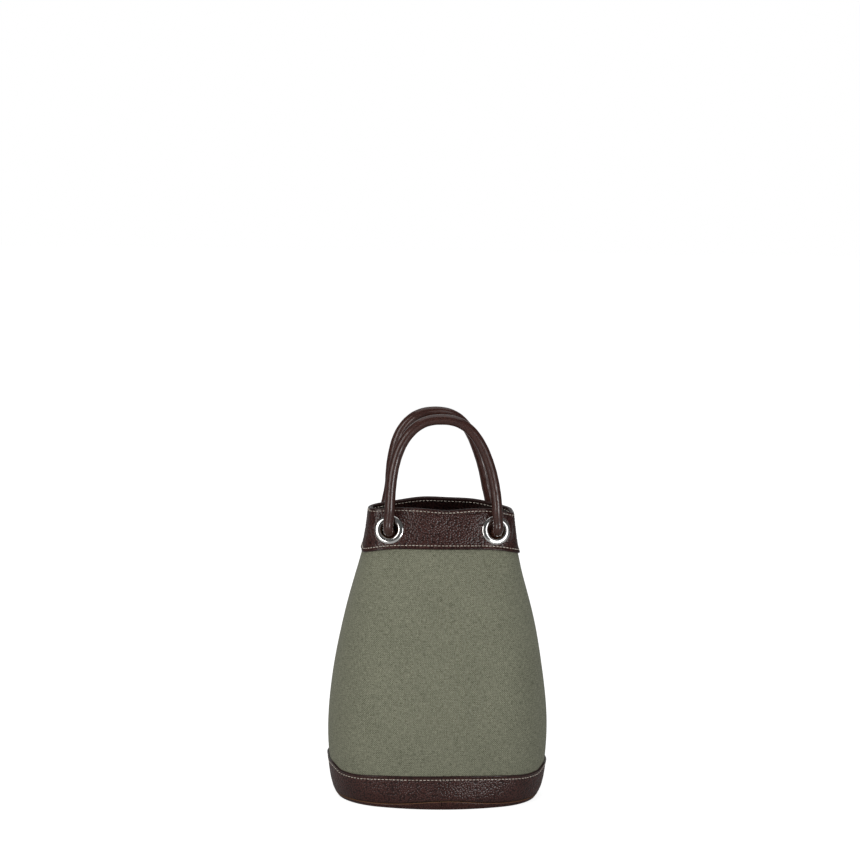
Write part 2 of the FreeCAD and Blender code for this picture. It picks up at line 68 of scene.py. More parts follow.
# %% [markdown]
# ## Camera, floor and light
#
# The camera comes first, because it decides which details matter. It is a long lens a little
# above the rim, and it looks at the bag from four degrees left of the front. The floor is a
# plain pale sheet. To the camera's own rays the floor and the room glow, so both show as plain
# white, while other rays meet a grey floor and a dim room. The light is what a small studio has:
# a soft box on each side, a low pair near the floor, one overhead and one behind. The dim room
# gives leather its streaks and metal its contrast.

# %% Camera
CAMERA_DISTANCE = 2.945
CAMERA_HEIGHT = 0.761
CAMERA_TURN = math.radians(4.0)
CAMERA_PITCH = math.radians(7.25)
CAMERA_YAW = math.radians(0.25)
CAMERA_ROLL = math.radians(1.0)

heading = CAMERA_TURN - CAMERA_YAW
ahead = Vector(
    (
        math.sin(heading) * math.cos(CAMERA_PITCH),
        math.cos(heading) * math.cos(CAMERA_PITCH),
        -math.sin(CAMERA_PITCH),
    )
)
lens_data = bpy.data.cameras.new("studio_camera")
lens_data.lens = 118.55
lens_data.sensor_width = 36.0
camera = bpy.data.objects.new("studio_camera", lens_data)
scene.collection.objects.link(camera)
camera.location = (
    -CAMERA_DISTANCE * math.sin(CAMERA_TURN),
    -CAMERA_DISTANCE * math.cos(CAMERA_TURN),
    CAMERA_HEIGHT,
)
level_view = ahead.to_track_quat("-Z", "Y").to_matrix()
camera.rotation_euler = (level_view @ Matrix.Rotation(CAMERA_ROLL, 3, "Z")).to_euler()
scene.camera = camera
scene.view_settings.view_transform = "Standard"
print("camera at", [round(value, 3) for value in camera.location])

# %% A short way to write shader and geometry nodes


def node(tree, kind, inputs=None, **settings):
    """Add a node. An input is a number or colour, or a socket of another node to link."""
    made = tree.nodes.new(kind)
    for key, value in settings.items():
        setattr(made, key, value)
    for key, value in (inputs or {}).items():
        if isinstance(value, bpy.types.NodeSocket):
            tree.links.new(value, made.inputs[key])
        else:
            made.inputs[key].default_value = value
    return made


def maths(tree, operation, *values):
    """The result of a Math node. Each value is a number or a socket."""
    return node(tree, "ShaderNodeMath", dict(enumerate(values)), operation=operation).outputs[0]


def noise(tree, place, scale, detail, roughness=0.5):
    """The pattern of a Noise node, from 0 to 1."""
    inputs = {"Vector": place, "Scale": scale, "Detail": detail, "Roughness": roughness}
    return node(tree, "ShaderNodeTexNoise", inputs).outputs["Fac"]


def two_tones(tree, share, low, high):
    """A colour ramp from one colour to another."""
    ramp = node(tree, "ShaderNodeValToRGB", {"Fac": share})
    for stop, colour in zip(ramp.color_ramp.elements, (low, high)):
        stop.color = (*colour, 1)
    return ramp


def plain_material(name, colour, roughness):
    """A new material with one Principled shader, and its node tree."""
    made = bpy.data.materials.new(name)
    made.use_nodes = True
    shader = made.node_tree.nodes["Principled BSDF"]
    shader.inputs["Base Color"].default_value = (*colour, 1.0)
    shader.inputs["Roughness"].default_value = roughness
    return made, made.node_tree, shader


# %% Floor and light


def add_piece(name, mesh, material):
    """An object at the origin that shows a mesh in one material."""
    piece = bpy.data.objects.new(name, mesh)
    scene.collection.objects.link(piece)
    piece.data.materials.clear()
    piece.data.materials.append(material)
    return piece


def on_bag(piece, slot, *nodes):
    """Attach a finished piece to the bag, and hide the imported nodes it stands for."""
    if nodes:
        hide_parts(*nodes)
    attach(piece, "bag")


floor_mesh = bpy.data.meshes.new("studio_floor")
reach = 9.0
floor_mesh.from_pydata(
    [(-reach, -reach, 0), (reach, -reach, 0), (reach, reach, 0), (-reach, reach, 0)], [], [(0, 1, 2, 3)]
)
floor_finish, floor_tree, floor_shader = plain_material("pale_floor", (0.45, 0.45, 0.45), 0.85)
floor_grain = node(floor_tree, "ShaderNodeTexNoise", {"Scale": 3.0, "Detail": 2.0})
floor_tone = two_tones(floor_tree, floor_grain.outputs["Fac"], (0.44, 0.44, 0.44), (0.47, 0.47, 0.47))
floor_tree.links.new(floor_tone.outputs["Color"], floor_shader.inputs["Base Color"])
floor_shader.inputs["Emission Color"].default_value = (1.0, 1.0, 1.0, 1.0)
floor_rays = node(floor_tree, "ShaderNodeLightPath")
floor_glow = node(
    floor_tree, "ShaderNodeMix", {"Factor": floor_rays.outputs["Is Camera Ray"], "A": 0.0, "B": 0.85}
)
floor_tree.links.new(floor_glow.outputs["Result"], floor_shader.inputs["Emission Strength"])
floor = add_piece("studio_floor", floor_mesh, floor_finish)

LIGHTS = {
    # name: (where it stands, width, height, watts, colour)
    "left_box": ((-1.62, -1.48, 0.95), 1.2, 1.3, 18.5, (1.0, 0.985, 0.96)),
    "right_box": ((1.32, -1.60, 0.62), 0.8, 0.9, 5.0, (0.97, 0.985, 1.0)),
    "low_right_box": ((0.95, -1.85, 0.20), 0.7, 0.34, 8.5, (1.0, 1.0, 1.0)),
    "low_left_box": ((-1.15, -1.70, 0.22), 0.6, 0.34, 3.5, (1.0, 0.99, 0.97)),
    "top_box": ((0.0, 0.15, 1.9), 1.6, 1.6, 8.0, (1.0, 1.0, 1.0)),
    "back_box": ((0.0, 2.2, 1.2), 2.4, 1.4, 6.0, (1.0, 1.0, 1.0)),
}
for name, (place, width, height, watts, colour) in LIGHTS.items():
    lamp = bpy.data.lights.new(name, "AREA")
    lamp.shape = "RECTANGLE"
    lamp.size, lamp.size_y = width, height
    lamp.energy = watts
    lamp.color = colour
    holder = bpy.data.objects.new(name, lamp)
    scene.collection.objects.link(holder)
    holder.location = place
    holder.rotation_euler = (Vector((0, 0, 0.18)) - Vector(place)).to_track_quat("-Z", "Y").to_euler()
    holder.visible_camera = False

room = bpy.data.worlds.new("studio_room")
room.use_nodes = True
scene.world = room
room_light = room.node_tree.nodes["Background"]
room_light.inputs["Color"].default_value = (1.0, 1.0, 1.0, 1.0)
rays = node(room.node_tree, "ShaderNodeLightPath")
room_soft = node(
    room.node_tree, "ShaderNodeMix", {"Factor": rays.outputs["Is Diffuse Ray"], "A": 0.08, "B": 0.36}
)
room_strength = node(
    room.node_tree,
    "ShaderNodeMix",
    {"Factor": rays.outputs["Is Camera Ray"], "A": room_soft.outputs["Result"], "B": 1.0},
)
room.node_tree.links.new(room_strength.outputs["Result"], room_light.inputs["Strength"])
print("lights:", ", ".join(LIGHTS))

# %% [markdown]
# ## The shape of the wall
#
# All the soft pieces are layers of one wall: leather outside, canvas in the middle, lining
# inside. So the wall comes first, as a rule that gives a point for any place on it. At each
# level the outline is the same kind of curve: a gently bowed front, a round corner and a short
# flat at the side seam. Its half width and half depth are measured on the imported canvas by
# casting rays at it, and a smooth curve is fitted through them.

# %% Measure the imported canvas
BAND, CANVAS, LINING, FACING = 1.6 * MM, 1.2 * MM, 0.8 * MM, 1.4 * MM
WALL_BOW = 260 * MM
SIDE_FLAT = 12 * MM
FLOOR_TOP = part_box("base_lining")[1].z
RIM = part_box("canvas_front")[1].z
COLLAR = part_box("top_band_front")[0].z
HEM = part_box("bottom_band_front")[1].z
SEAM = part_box("bottom_band_front")[0].z


def tree_of(name):
    """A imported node's surface, ready for rays."""
    mesh = frame["nodes"][name].data
    return BVHTree.FromPolygons([v.co for v in mesh.vertices], [tuple(p.vertices) for p in mesh.polygons])


canvas_surface = tree_of("canvas_front")
levels = np.linspace(0.003, RIM - 0.0005, 48)
widths = [canvas_surface.ray_cast(Vector((1, -0.004, z)), Vector((-1, 0, 0)))[0].x for z in levels]
depths = [-canvas_surface.ray_cast(Vector((0, -1, z)), Vector((0, 1, 0)))[0].y for z in levels]
width_fit = np.polynomial.Polynomial.fit(levels, widths, 11)
depth_fit = np.polynomial.Polynomial.fit(levels, depths, 11)
print(
    "largest miss of the fitted curves, mm:",
    round(float(abs(width_fit(levels) - widths).max()) / MM, 2),
    round(float(abs(depth_fit(levels) - depths).max()) / MM, 2),
)

# %% The wall as a rule


def smooth(value, low, high):
    """0 below low, 1 above high, and a soft step between."""
    share = np.clip((value - low) / (high - low), 0, 1)
    return share * share * (3 - 2 * share)


def bump(value, centre, width):
    """A soft bump, 1 at its centre."""
    return np.exp(-(((value - centre) / width) ** 2))


def half_width(z):
    """Half width of the wall. The sewn mouth pulls in a little at its side seams."""
    return width_fit(z) - 1.5 * MM * smooth(z, 0.245, 0.30)


def half_depth(z):
    """Half depth of the wall. The foot spreads a little where it stands."""
    return depth_fit(z) + 5.0 * MM * (1 - smooth(z, 0.0, 0.036))


def bow_radius(z):
    """Radius of the front's bow. Near the ground the outline is rounder."""
    return WALL_BOW - 78 * MM * (1 - smooth(z, 0.0, 0.040))


def outline(t, z):
    """Level outline of the front half. t runs from -1 at the left seam to 1 at the right.
    Gives x, y and the distance along the outline from the front centre."""
    wide, deep, bow = half_width(z), half_depth(z), bow_radius(z)
    centre = bow - deep
    corner = (bow**2 - wide**2 - (centre + SIDE_FLAT) ** 2) / (2 * (bow - wide))
    turn = np.arctan2(wide - corner, centre + SIDE_FLAT)
    bow_run = bow * turn
    corner_run = corner * (math.pi / 2 - turn)
    run = np.abs(t) * (bow_run + corner_run + SIDE_FLAT)
    angle = turn + (run - bow_run) / corner
    on_bow, on_corner = run < bow_run, run < bow_run + corner_run
    x = np.where(
        on_bow, bow * np.sin(run / bow), np.where(on_corner, wide - corner + corner * np.sin(angle), wide)
    )
    y = np.where(
        on_bow,
        centre - bow * np.cos(run / bow),
        np.where(on_corner, -SIDE_FLAT - corner * np.cos(angle), run - bow_run - corner_run - SIDE_FLAT),
    )
    return x * np.sign(t), y, run * np.sign(t)


def half_run(z):
    """Distance along the outline from the front centre to a side seam."""
    return outline(np.ones_like(z), z)[2]


height_steps = np.linspace(0, 0.33, 400)
slope = np.gradient(half_depth(np.clip(height_steps, 0.003, RIM)), height_steps)
climb_steps = np.concatenate([[0], np.cumsum(np.hypot(1, slope[1:]) * np.diff(height_steps))])


def climb(z):
    """Distance up the wall from the ground."""
    return np.interp(z, height_steps, climb_steps)


# %% [markdown]
# ## Where the eyelets sit
#
# Each eyelet stands square to the wall. Its place follows from the wall's own sizes, and the
# packed eyelet's box shows whether it was worked out right. The leather is pressed flat under
# each flange, so the wall rule also has to know the eyelets.

# %% Eyelet seats
EYELET_ACROSS = 55.8 * MM
EYELET_DROP = 22 * MM
EYELET_HOLE = 8.3 * MM


def eyelet_seat(side):
    """Centre and axes of a front eyelet on the outside of the band: across, up, out."""
    radius = WALL_BOW + BAND
    low, high = float(half_depth(COLLAR)), float(half_depth(RIM))
    share = 1 - EYELET_DROP / (RIM - COLLAR)
    turn = math.asin(EYELET_ACROSS / radius)
    tilt = math.atan2(low - high, RIM - COLLAR)
    across = Vector((math.cos(turn), side * math.sin(turn), 0))
    out = Vector((side * math.sin(turn) * math.cos(tilt), -math.cos(turn) * math.cos(tilt), math.sin(tilt)))
    y = WALL_BOW - (low + (high - low) * share) - math.sqrt(radius**2 - EYELET_ACROSS**2)
    return Vector((side * EYELET_ACROSS, y, RIM - EYELET_DROP)), across, out.cross(across), out


SEATS = {side: eyelet_seat(side) for side in (-1, 1)}
ring_low, ring_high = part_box("eyelet_front_right")
seat_right = SEATS[1][0]
print(
    "right eyelet's seat, mm:",
    [round(v / MM, 1) for v in seat_right],
    "| packed eyelet's middle:",
    [round(v / MM, 1) for v in (ring_low + ring_high) / 2],
)

# %% [markdown]
# ## How the leather and canvas really lie
#
# A sewn bag is never as even as its pattern. The rim dips a little in the middle of the front
# and drops towards the sides, the band edges curve with it, and the walls ripple by little
# more than a millimetre at most. These rules bend every layer alike, so no layer cuts into the next.

# %% Edges and ripples
MOUTH_LEVEL = 0.285


def side_share(t):
    """How far across the front a place is: 0 at the centre, 1 at the side."""
    return outline(t, np.full_like(t, MOUTH_LEVEL))[0] / float(half_width(MOUTH_LEVEL))


def rim_height(t, face):
    """Height of the mouth's edge."""
    across = side_share(t)
    to_right = across if face == "front" else -across
    if face == "front":
        edge = 308.9 * MM - (5.0 + 1.8 * across) * MM * abs(across) ** 5 - 2.1 * MM * bump(across, 0.03, 0.36)
    else:
        edge = 311.0 * MM - 8.5 * MM * abs(across) ** 2.2
    seam = smooth(abs(t), 0.86, 1.0)
    return edge * (1 - seam) + (304.2 - 1.3 * to_right) * MM * seam


def collar_height(t, face):
    """Height of the top band's lower edge."""
    return COLLAR + 3.5 * MM - 7.5 * MM * abs(side_share(t)) ** 5


def hem_height(t, face):
    """Height of the bottom band's upper edge."""
    across = side_share(t)
    lift = bump(across, 0.10, 0.32) if face == "front" else bump(across, -0.2, 0.5)
    ends = 4.5 * smooth(abs(across), 0.88, 1.0) - 1.8 * bump(abs(across), 0.76, 0.18)
    return HEM - 0.4 * MM + (1.3 * lift + ends) * MM


def seam_height(t, face):
    """Height of the seam under the bottom band."""
    lift = bump(side_share(t), 0.05, 0.36) if face == "front" else 0.5 * bump(side_share(t), -0.1, 0.5)
    return SEAM - 3.7 * MM + 5.0 * MM * lift


def above(rule, rise):
    """A height rule raised by a distance."""
    return lambda t, face: rule(t, face) + rise


def level(height):
    """A height rule that is the same all round."""
    return lambda t, face: np.full_like(t, height)


def turned(points, face):
    """Points made for the front, turned half round if they belong to the rear."""
    return points * np.array([-1.0, -1.0, 1.0]) if face == "rear" else points


def from_axis(points, centre, axis):
    """How far points lie along an eyelet's axis from its seat, and how far from the axis."""
    offset = points - np.array(centre)
    depth = offset @ np.array(axis)
    return depth, np.linalg.norm(offset - depth[..., None] * np.array(axis), axis=-1)


def ripple(run, z, face):
    """How far the whole wall stands out of its even shape."""
    first, second = (0.0, 1.0) if face == "front" else (2.2, 3.1)
    wall = smooth(z, 0.04, 0.09) * (1 - smooth(z, 0.23, 0.262))
    slow = 0.8 * MM * np.sin(run / 0.031 + 1.3 + first) * np.sin(z / 0.042 + second)
    quick = 0.35 * MM * np.sin(run / 0.0135 + 2.0 * np.sin(z / 0.05) + first)
    mouth = smooth(z, 0.262, 0.300)
    folds = 0.75 * MM * np.cos((run + 20 * MM + first * 9 * MM) / 0.0091)
    foot = smooth(z, 0.006, 0.016) * (1 - smooth(z, 0.036, 0.06))
    dents = 0.30 * MM * np.sin(run / 0.017 + 0.8 + first)
    return wall * (slow + quick) + mouth * folds + foot * dents


def wall(t, z, out, face):
    """Points of the wall, out metres outside the canvas. The rear is the front turned about."""
    t, z, out = np.broadcast_arrays(np.asarray(t, float), np.asarray(z, float), np.asarray(out, float))
    step = 0.4 * MM
    x, y, run = outline(t, z)
    near = np.sign(t) * np.minimum(abs(t) + 0.002, 1.0) - np.where(abs(t) > 0.998, 0.002, 0) * np.sign(t)
    x_side, y_side, _ = outline(np.where(t == 0, 0.002, near), z)
    x_up, y_up, _ = outline(t, z + step)
    flip = np.where(t < 0, -1.0, 1.0) * np.where(abs(t) > 0.998, -1.0, 1.0)
    along = np.stack([x_side - x, y_side - y, np.zeros_like(x)], -1) * flip[..., None]
    up = np.stack([x_up - x, y_up - y, np.full_like(x, step)], -1)
    normal = np.cross(along, up)
    normal /= np.linalg.norm(normal, axis=-1, keepdims=True)
    settle = 1 - abs(t) ** 8
    stand = out + ripple(run, z, face) * settle
    points = np.stack([x, y, z], -1) + normal * stand[..., None]
    for centre, _, _, axis in SEATS.values():
        depth, radius = from_axis(points, centre, axis)
        press = 1 - smooth(radius, 15.3 * MM, 21.5 * MM)
        points = points + np.array(axis) * ((out - BAND - depth) * press)[..., None]
    return turned(points, face)


print("mouth, mm:", [round(float(rim_height(np.array(t), "front")) / MM, 1) for t in (0.0, 0.5, 1.0)])

# %% [markdown]
# ## A closed slab from two grids
#
# Cloth and leather are slabs: an outer face, an inner face, and an edge all round. One helper
# turns two grids of points into such a slab. It can leave cells out, which makes the eyelet
# holes, and it keeps the flat pattern of the piece as its UV map, in metres, so that weave and
# grain run with the cloth.

# %% Slab helpers


def spread(length, step, lip):
    """Places from 0 to 1 along a length: even, but closer near both ends for a round edge."""
    ends = np.array([0, 0.06, 0.2, 0.45, 0.75, 1.1]) * lip
    inner = np.arange(1, max(2, round((length - 2.8 * lip) / step))) * step
    middle = np.linspace(1.5 * lip, length - 1.5 * lip, len(inner) + 1)
    return np.concatenate([ends, middle, length - ends[::-1]]) / length


def lip_inset(distance, radius):
    """How far a round edge falls back at a distance from the very edge."""
    reach_in = np.clip(radius - distance, 0, radius)
    return radius - np.sqrt(radius**2 - reach_in**2)


def slab(name, outer, inner, flat, keep=None, extra=None):
    """Closed mesh between two grids (rows, columns, 3). flat is the UV grid in metres."""
    rows, columns = outer.shape[:2]
    if keep is None:
        keep = np.ones((rows - 1, columns - 1), bool)
    number = np.arange(rows * columns).reshape(rows, columns)
    low_left, low_right = number[:-1, :-1][keep], number[:-1, 1:][keep]
    up_left, up_right = number[1:, :-1][keep], number[1:, 1:][keep]
    shift = rows * columns
    faces = [np.stack([low_left, low_right, up_right, up_left], -1)]
    faces.append(np.stack([low_left, up_left, up_right, low_right], -1) + shift)
    framed = np.pad(keep, 1)

    def rim_faces(first, second, chosen):
        a, b = first[chosen], second[chosen]
        faces.append(np.stack([b, a, a + shift, b + shift], -1))

    below, above = framed[:-1, 1:-1], framed[1:, 1:-1]
    rim_faces(number[:, :-1], number[:, 1:], above & ~below)
    rim_faces(number[:, 1:], number[:, :-1], below & ~above)
    left, right = framed[1:-1, :-1], framed[1:-1, 1:]
    rim_faces(number[1:, :], number[:-1, :], right & ~left)
    rim_faces(number[:-1, :], number[1:, :], left & ~right)
    quads = np.concatenate(faces)
    used, quads = np.unique(quads, return_inverse=True)
    quads = quads.reshape(-1, 4)
    points = np.concatenate([outer.reshape(-1, 3), inner.reshape(-1, 3)])[used]
    flats = np.concatenate([flat.reshape(-1, 2)] * 2)[used]
    mesh = bpy.data.meshes.new(name)
    mesh.from_pydata(points.tolist(), [], quads.tolist())
    layer = mesh.uv_layers.new(name="flat")
    layer.data.foreach_set("uv", flats[quads.ravel()].astype(np.float32).ravel())
    if extra is not None:
        values = np.concatenate([extra.ravel(), np.ones(extra.size)])[used]
        mesh.attributes.new("grain", "FLOAT", "POINT").data.foreach_set("value", values.astype(np.float32))
    mesh.shade_smooth()
    return mesh


def wall_grid(face, low, high, step, lip, span=(-1.0, 1.0)):
    """Grid over part of the wall: t, z and the distances to the nearest level and upright edge."""
    middle = np.linspace(*span, 400)
    length = float(half_run(np.full(1, 0.5 * (low(np.zeros(1), face) + high(np.zeros(1), face))[0]))[0])
    t = span[0] + (span[1] - span[0]) * spread((span[1] - span[0]) * length, step, lip)
    tall = float((high(middle, face) - low(middle, face)).max())
    v = spread(tall, step, lip)
    t, v = np.meshgrid(t, v)
    floor_z, top_z = low(t[0], face), high(t[0], face)
    z = floor_z + v * (top_z - floor_z)
    gap = np.minimum(z - floor_z, top_z - z)
    side_gap = np.minimum(t - span[0], span[1] - t) * half_run(z)
    return t, z, gap, side_gap


def flat_of(t, z):
    """The flat pattern's coordinates: distance round the bag and distance up the wall."""
    return np.stack([outline(t, z)[2], climb(z)], -1)


def open_holes(t, z, face, out, margin=1.0 * MM):
    """Which cells of a layer stay when the eyelet holes are cut."""
    points = turned(wall(t, z, out, face), face)
    middle = (points[:-1, :-1] + points[1:, 1:]) / 2
    keep = np.ones(middle.shape[:2], bool)
    for centre, _, _, axis in SEATS.values():
        keep &= from_axis(middle, centre, axis)[1] > EYELET_HOLE + margin
    return keep


# %% [markdown]
# ## Leather grain as geometry
#
# The leather is pebbled: round bumps a little over two millimetres across, with creases
# between them. They catch the light, so they are real geometry and not only a bump in
# the shader. A jittered grid of points gives the pebbles, and a crease lies wherever two
# points are equally near.

# %% Pebbles


def pebbles(u, v, cell, seed):
    """Leather grain: from 0 in a crease to 1 on top of a pebble."""
    jitter = np.random.default_rng(seed).random((256, 256, 2))
    u, v = u / cell, v / cell
    column, row = np.floor(u).astype(int), np.floor(v).astype(int)
    first, second = np.full(u.shape, 9.0), np.full(u.shape, 9.0)
    for i in (-1, 0, 1):
        for j in (-1, 0, 1):
            shift = jitter[(column + i) % 256, (row + j) % 256]
            away = np.hypot(column + i + shift[..., 0] - u, row + j + shift[..., 1] - v)
            second = np.minimum(second, np.maximum(first, away))
            first = np.minimum(first, away)
    dome = np.clip(1 - (first / 0.66) ** 2, 0, 1)
    return dome * smooth(second - first, -0.05, 0.30)


# %% [markdown]
# ## Materials
#
# Each finish has its own small recipe. Canvas is a plain weave with uneven threads and a soft
# fuzz. Leather has the grain's creases in its bump, and in its colour as painted shade that
# darkens the creases; it has a fine unevenness in its gloss, under a thin clear coat. The
# facing inside the mouth is the same leather in darker colours, painted shade for the inside
# of the bag. Metal is almost a mirror, and thread is pale and matt. The patterns follow the
# pieces' flat maps or their own coordinates, so they stay with the piece from every side.

# %% Canvas and lining


def woven(name, dark, light, pitch, bump_height, sheen):
    """Plain weave with uneven threads. pitch is the width of one thread in metres."""
    made, tree, shader = plain_material(name, light, 0.92)
    flat = node(tree, "ShaderNodeUVMap", uv_map="flat")
    parts = node(tree, "ShaderNodeSeparateXYZ", {0: flat.outputs["UV"]})
    turns = [maths(tree, "MULTIPLY", parts.outputs[axis], math.pi / pitch) for axis in ("X", "Y")]
    crossing = maths(tree, "MULTIPLY", *(maths(tree, "SINE", turn) for turn in turns))
    threads = []
    for scale in ((1 / pitch, 0.2 / pitch, 1), (0.2 / pitch, 1 / pitch, 1)):
        stretched = node(tree, "ShaderNodeMapping", {"Vector": flat.outputs["UV"], "Scale": scale})
        threads.append(noise(tree, stretched.outputs[0], 1.0, 3.0, 0.6))
    fuzz = noise(tree, flat.outputs["UV"], 0.75 / pitch, 3.0, 0.7)
    patches = noise(tree, flat.outputs["UV"], 26.0, 3.0)
    height = maths(tree, "MULTIPLY_ADD", crossing, 0.28, maths(tree, "ADD", *threads))
    tone = maths(tree, "MULTIPLY_ADD", patches, 0.22, maths(tree, "MULTIPLY_ADD", fuzz, 1.1, height))
    share = node(tree, "ShaderNodeMapRange", {"Value": tone, "From Min": 1.085, "From Max": 2.235})
    ramp = two_tones(tree, share.outputs[0], dark, light)
    tree.links.new(ramp.outputs["Color"], shader.inputs["Base Color"])
    relief = node(tree, "ShaderNodeBump", {"Strength": 0.6, "Distance": bump_height, "Height": height})
    tree.links.new(relief.outputs["Normal"], shader.inputs["Normal"])
    shader.inputs["Sheen Weight"].default_value = sheen
    shader.inputs["Sheen Roughness"].default_value = 0.5
    shader.inputs["Specular IOR Level"].default_value = 0.2
    return made


canvas_finish = woven("sage_canvas", (0.050, 0.054, 0.033), (0.312, 0.315, 0.231), 1.15 * MM, 0.34 * MM, 0.08)
lining_finish = woven("brown_lining", (0.040, 0.028, 0.020), (0.085, 0.062, 0.045), 0.5 * MM, 0.10 * MM, 0.05)

# %% Leather, thread, metal and board


def leather(name, crease, top, gloss, cell, grain_from, depth, coat):
    """Leather with painted shade darkening its creases. Its grain is the piece's own attribute, or a pattern
    of cells.
    """
    made, tree, shader = plain_material(name, top, gloss)
    place = node(tree, "ShaderNodeTexCoord").outputs["Object"]
    if grain_from == "attribute":
        grain = node(tree, "ShaderNodeAttribute", attribute_name="grain").outputs["Fac"]
    else:
        cells = node(
            tree, "ShaderNodeTexVoronoi", {"Vector": place, "Scale": 1 / cell}, feature="DISTANCE_TO_EDGE"
        )
        edges = {"Value": cells.outputs["Distance"], "From Max": 0.22}
        grain = node(tree, "ShaderNodeMapRange", edges).outputs[0]
    fine = noise(tree, place, 1400.0, 4.0, 0.65)
    # The colour runs from the crease colour, which is painted shade in the grain's creases, to the top
    # colour, with a random tone from the noise.
    tone = maths(tree, "MULTIPLY_ADD", noise(tree, place, 60.0, 3.0), 0.6, grain)
    share = node(tree, "ShaderNodeMapRange", {"Value": tone, "From Min": 0.38, "From Max": 1.3})
    ramp = two_tones(tree, share.outputs[0], crease, top)
    tree.links.new(ramp.outputs["Color"], shader.inputs["Base Color"])
    rough = node(tree, "ShaderNodeMapRange", {"Value": fine, "To Min": gloss - 0.07, "To Max": gloss + 0.10})
    tree.links.new(rough.outputs[0], shader.inputs["Roughness"])
    height = maths(tree, "MULTIPLY_ADD", fine, 0.2, grain)
    relief = node(tree, "ShaderNodeBump", {"Strength": 0.55, "Distance": depth, "Height": height})
    tree.links.new(relief.outputs["Normal"], shader.inputs["Normal"])
    shader.inputs["Specular IOR Level"].default_value = 0.20
    shader.inputs["Coat Weight"].default_value = coat
    shader.inputs["Coat Roughness"].default_value = 0.15
    return made


# The crease colours below are painted shade for the grain's creases.
LEATHER_CREASE_SHADE, LEATHER_TOP = (0.017, 0.0056, 0.0044), (0.068, 0.0240, 0.0193)
band_leather = leather(
    "pebbled_leather", LEATHER_CREASE_SHADE, LEATHER_TOP, 0.31, 2.5 * MM, "attribute", 0.06 * MM, 0.42
)
# The facing is the band leather in darker colours: painted shade for the inside of the mouth, on top of the
# painted shade in its creases.
FACING_SHADED_CREASE, FACING_SHADED_TOP = (0.006, 0.002, 0.002), (0.034, 0.013, 0.011)
facing_leather_painted_shade = leather(
    "pebbled_leather_facing_painted_shade", FACING_SHADED_CREASE, FACING_SHADED_TOP, 0.45, 2.5 * MM, "attribute", 0.05 * MM, 0.0
)
small_leather = leather(
    "pebbled_leather_small", LEATHER_CREASE_SHADE, LEATHER_TOP, 0.34, 2.2 * MM, "pattern", 0.2 * MM, 0.3
)
# The roll's crease colour is painted shade for its creases too.
ROLL_CREASE_SHADE, ROLL_TOP = (0.022, 0.0075, 0.0058), (0.070, 0.0260, 0.0195)
roll_leather = leather("rolled_leather", ROLL_CREASE_SHADE, ROLL_TOP, 0.30, 1.2 * MM, "pattern", 0.08 * MM, 0.6)
# A plain tan colour for the thin ring at the foot's seam.
tan_line_finish = plain_material("tan_seam_line", (0.14, 0.062, 0.028), 0.8)[0]


def thread_material():
    """Pale matt thread, darker in places."""
    made, tree, shader = plain_material("cream_thread", (0.62, 0.56, 0.48), 0.75)
    place = node(tree, "ShaderNodeTexCoord").outputs["Object"]
    soil = noise(tree, place, 420.0, 2.0)
    ramp = two_tones(tree, soil, (0.36, 0.31, 0.255), (0.74, 0.68, 0.60))
    ramp.color_ramp.elements[0].position = 0.3
    ramp.color_ramp.elements[1].position = 0.7
    tree.links.new(ramp.outputs["Color"], shader.inputs["Base Color"])
    return made


def metal_material(name, colour, gloss):
    """Polished plate with faint wear in its gloss."""
    made, tree, shader = plain_material(name, colour, gloss)
    shader.inputs["Metallic"].default_value = 1.0
    place = node(tree, "ShaderNodeTexCoord").outputs["Object"]
    wear = noise(tree, place, 220.0, 3.0)
    rough = node(tree, "ShaderNodeMapRange", {"Value": wear, "To Min": gloss - 0.03, "To Max": gloss + 0.07})
    tree.links.new(rough.outputs[0], shader.inputs["Roughness"])
    return made


def board_material():
    """Pressed fibre board."""
    made, tree, shader = plain_material("fibre_board", (0.25, 0.20, 0.15), 0.85)
    place = node(tree, "ShaderNodeTexCoord").outputs["Object"]
    fibres = noise(tree, place, 260.0, 5.0)
    ramp = two_tones(tree, fibres, (0.19, 0.15, 0.11), (0.31, 0.25, 0.19))
    tree.links.new(ramp.outputs["Color"], shader.inputs["Base Color"])
    return made


thread_finish = thread_material()
plate_finish = metal_material("polished_nickel", (0.86, 0.855, 0.84), 0.09)
brass_finish = metal_material("bare_brass", (0.86, 0.68, 0.36), 0.18)
board_finish = board_material()
print("materials:", len(bpy.data.materials))

# %% [markdown]
# ## Canvas walls
#
# The canvas is one panel at the front and one at the rear, each cut to a flat shape that is
# wide at the belly and narrow at the mouth. It is held taut between the bands, so it is a
# lofted sheet with faint ripples and no folds. It ends inside the mouth's leather edge.

# %% Canvas panels
FACES = ("front", "rear")
CLOTH_HOLE_MARGIN = 3.4 * MM


def flat_facts(t, z, outer):
    """A sheet's flat size and area: the widest way round, the way up, and its outer face."""
    cells = np.cross(outer[1:, 1:] - outer[:-1, :-1], outer[1:, :-1] - outer[:-1, 1:])
    area = float(np.linalg.norm(cells, axis=-1).sum() / 2)
    return 2 * float(half_run(z[:, 0]).max()), float(climb(z[-1]).max() - climb(z[0]).min()), area


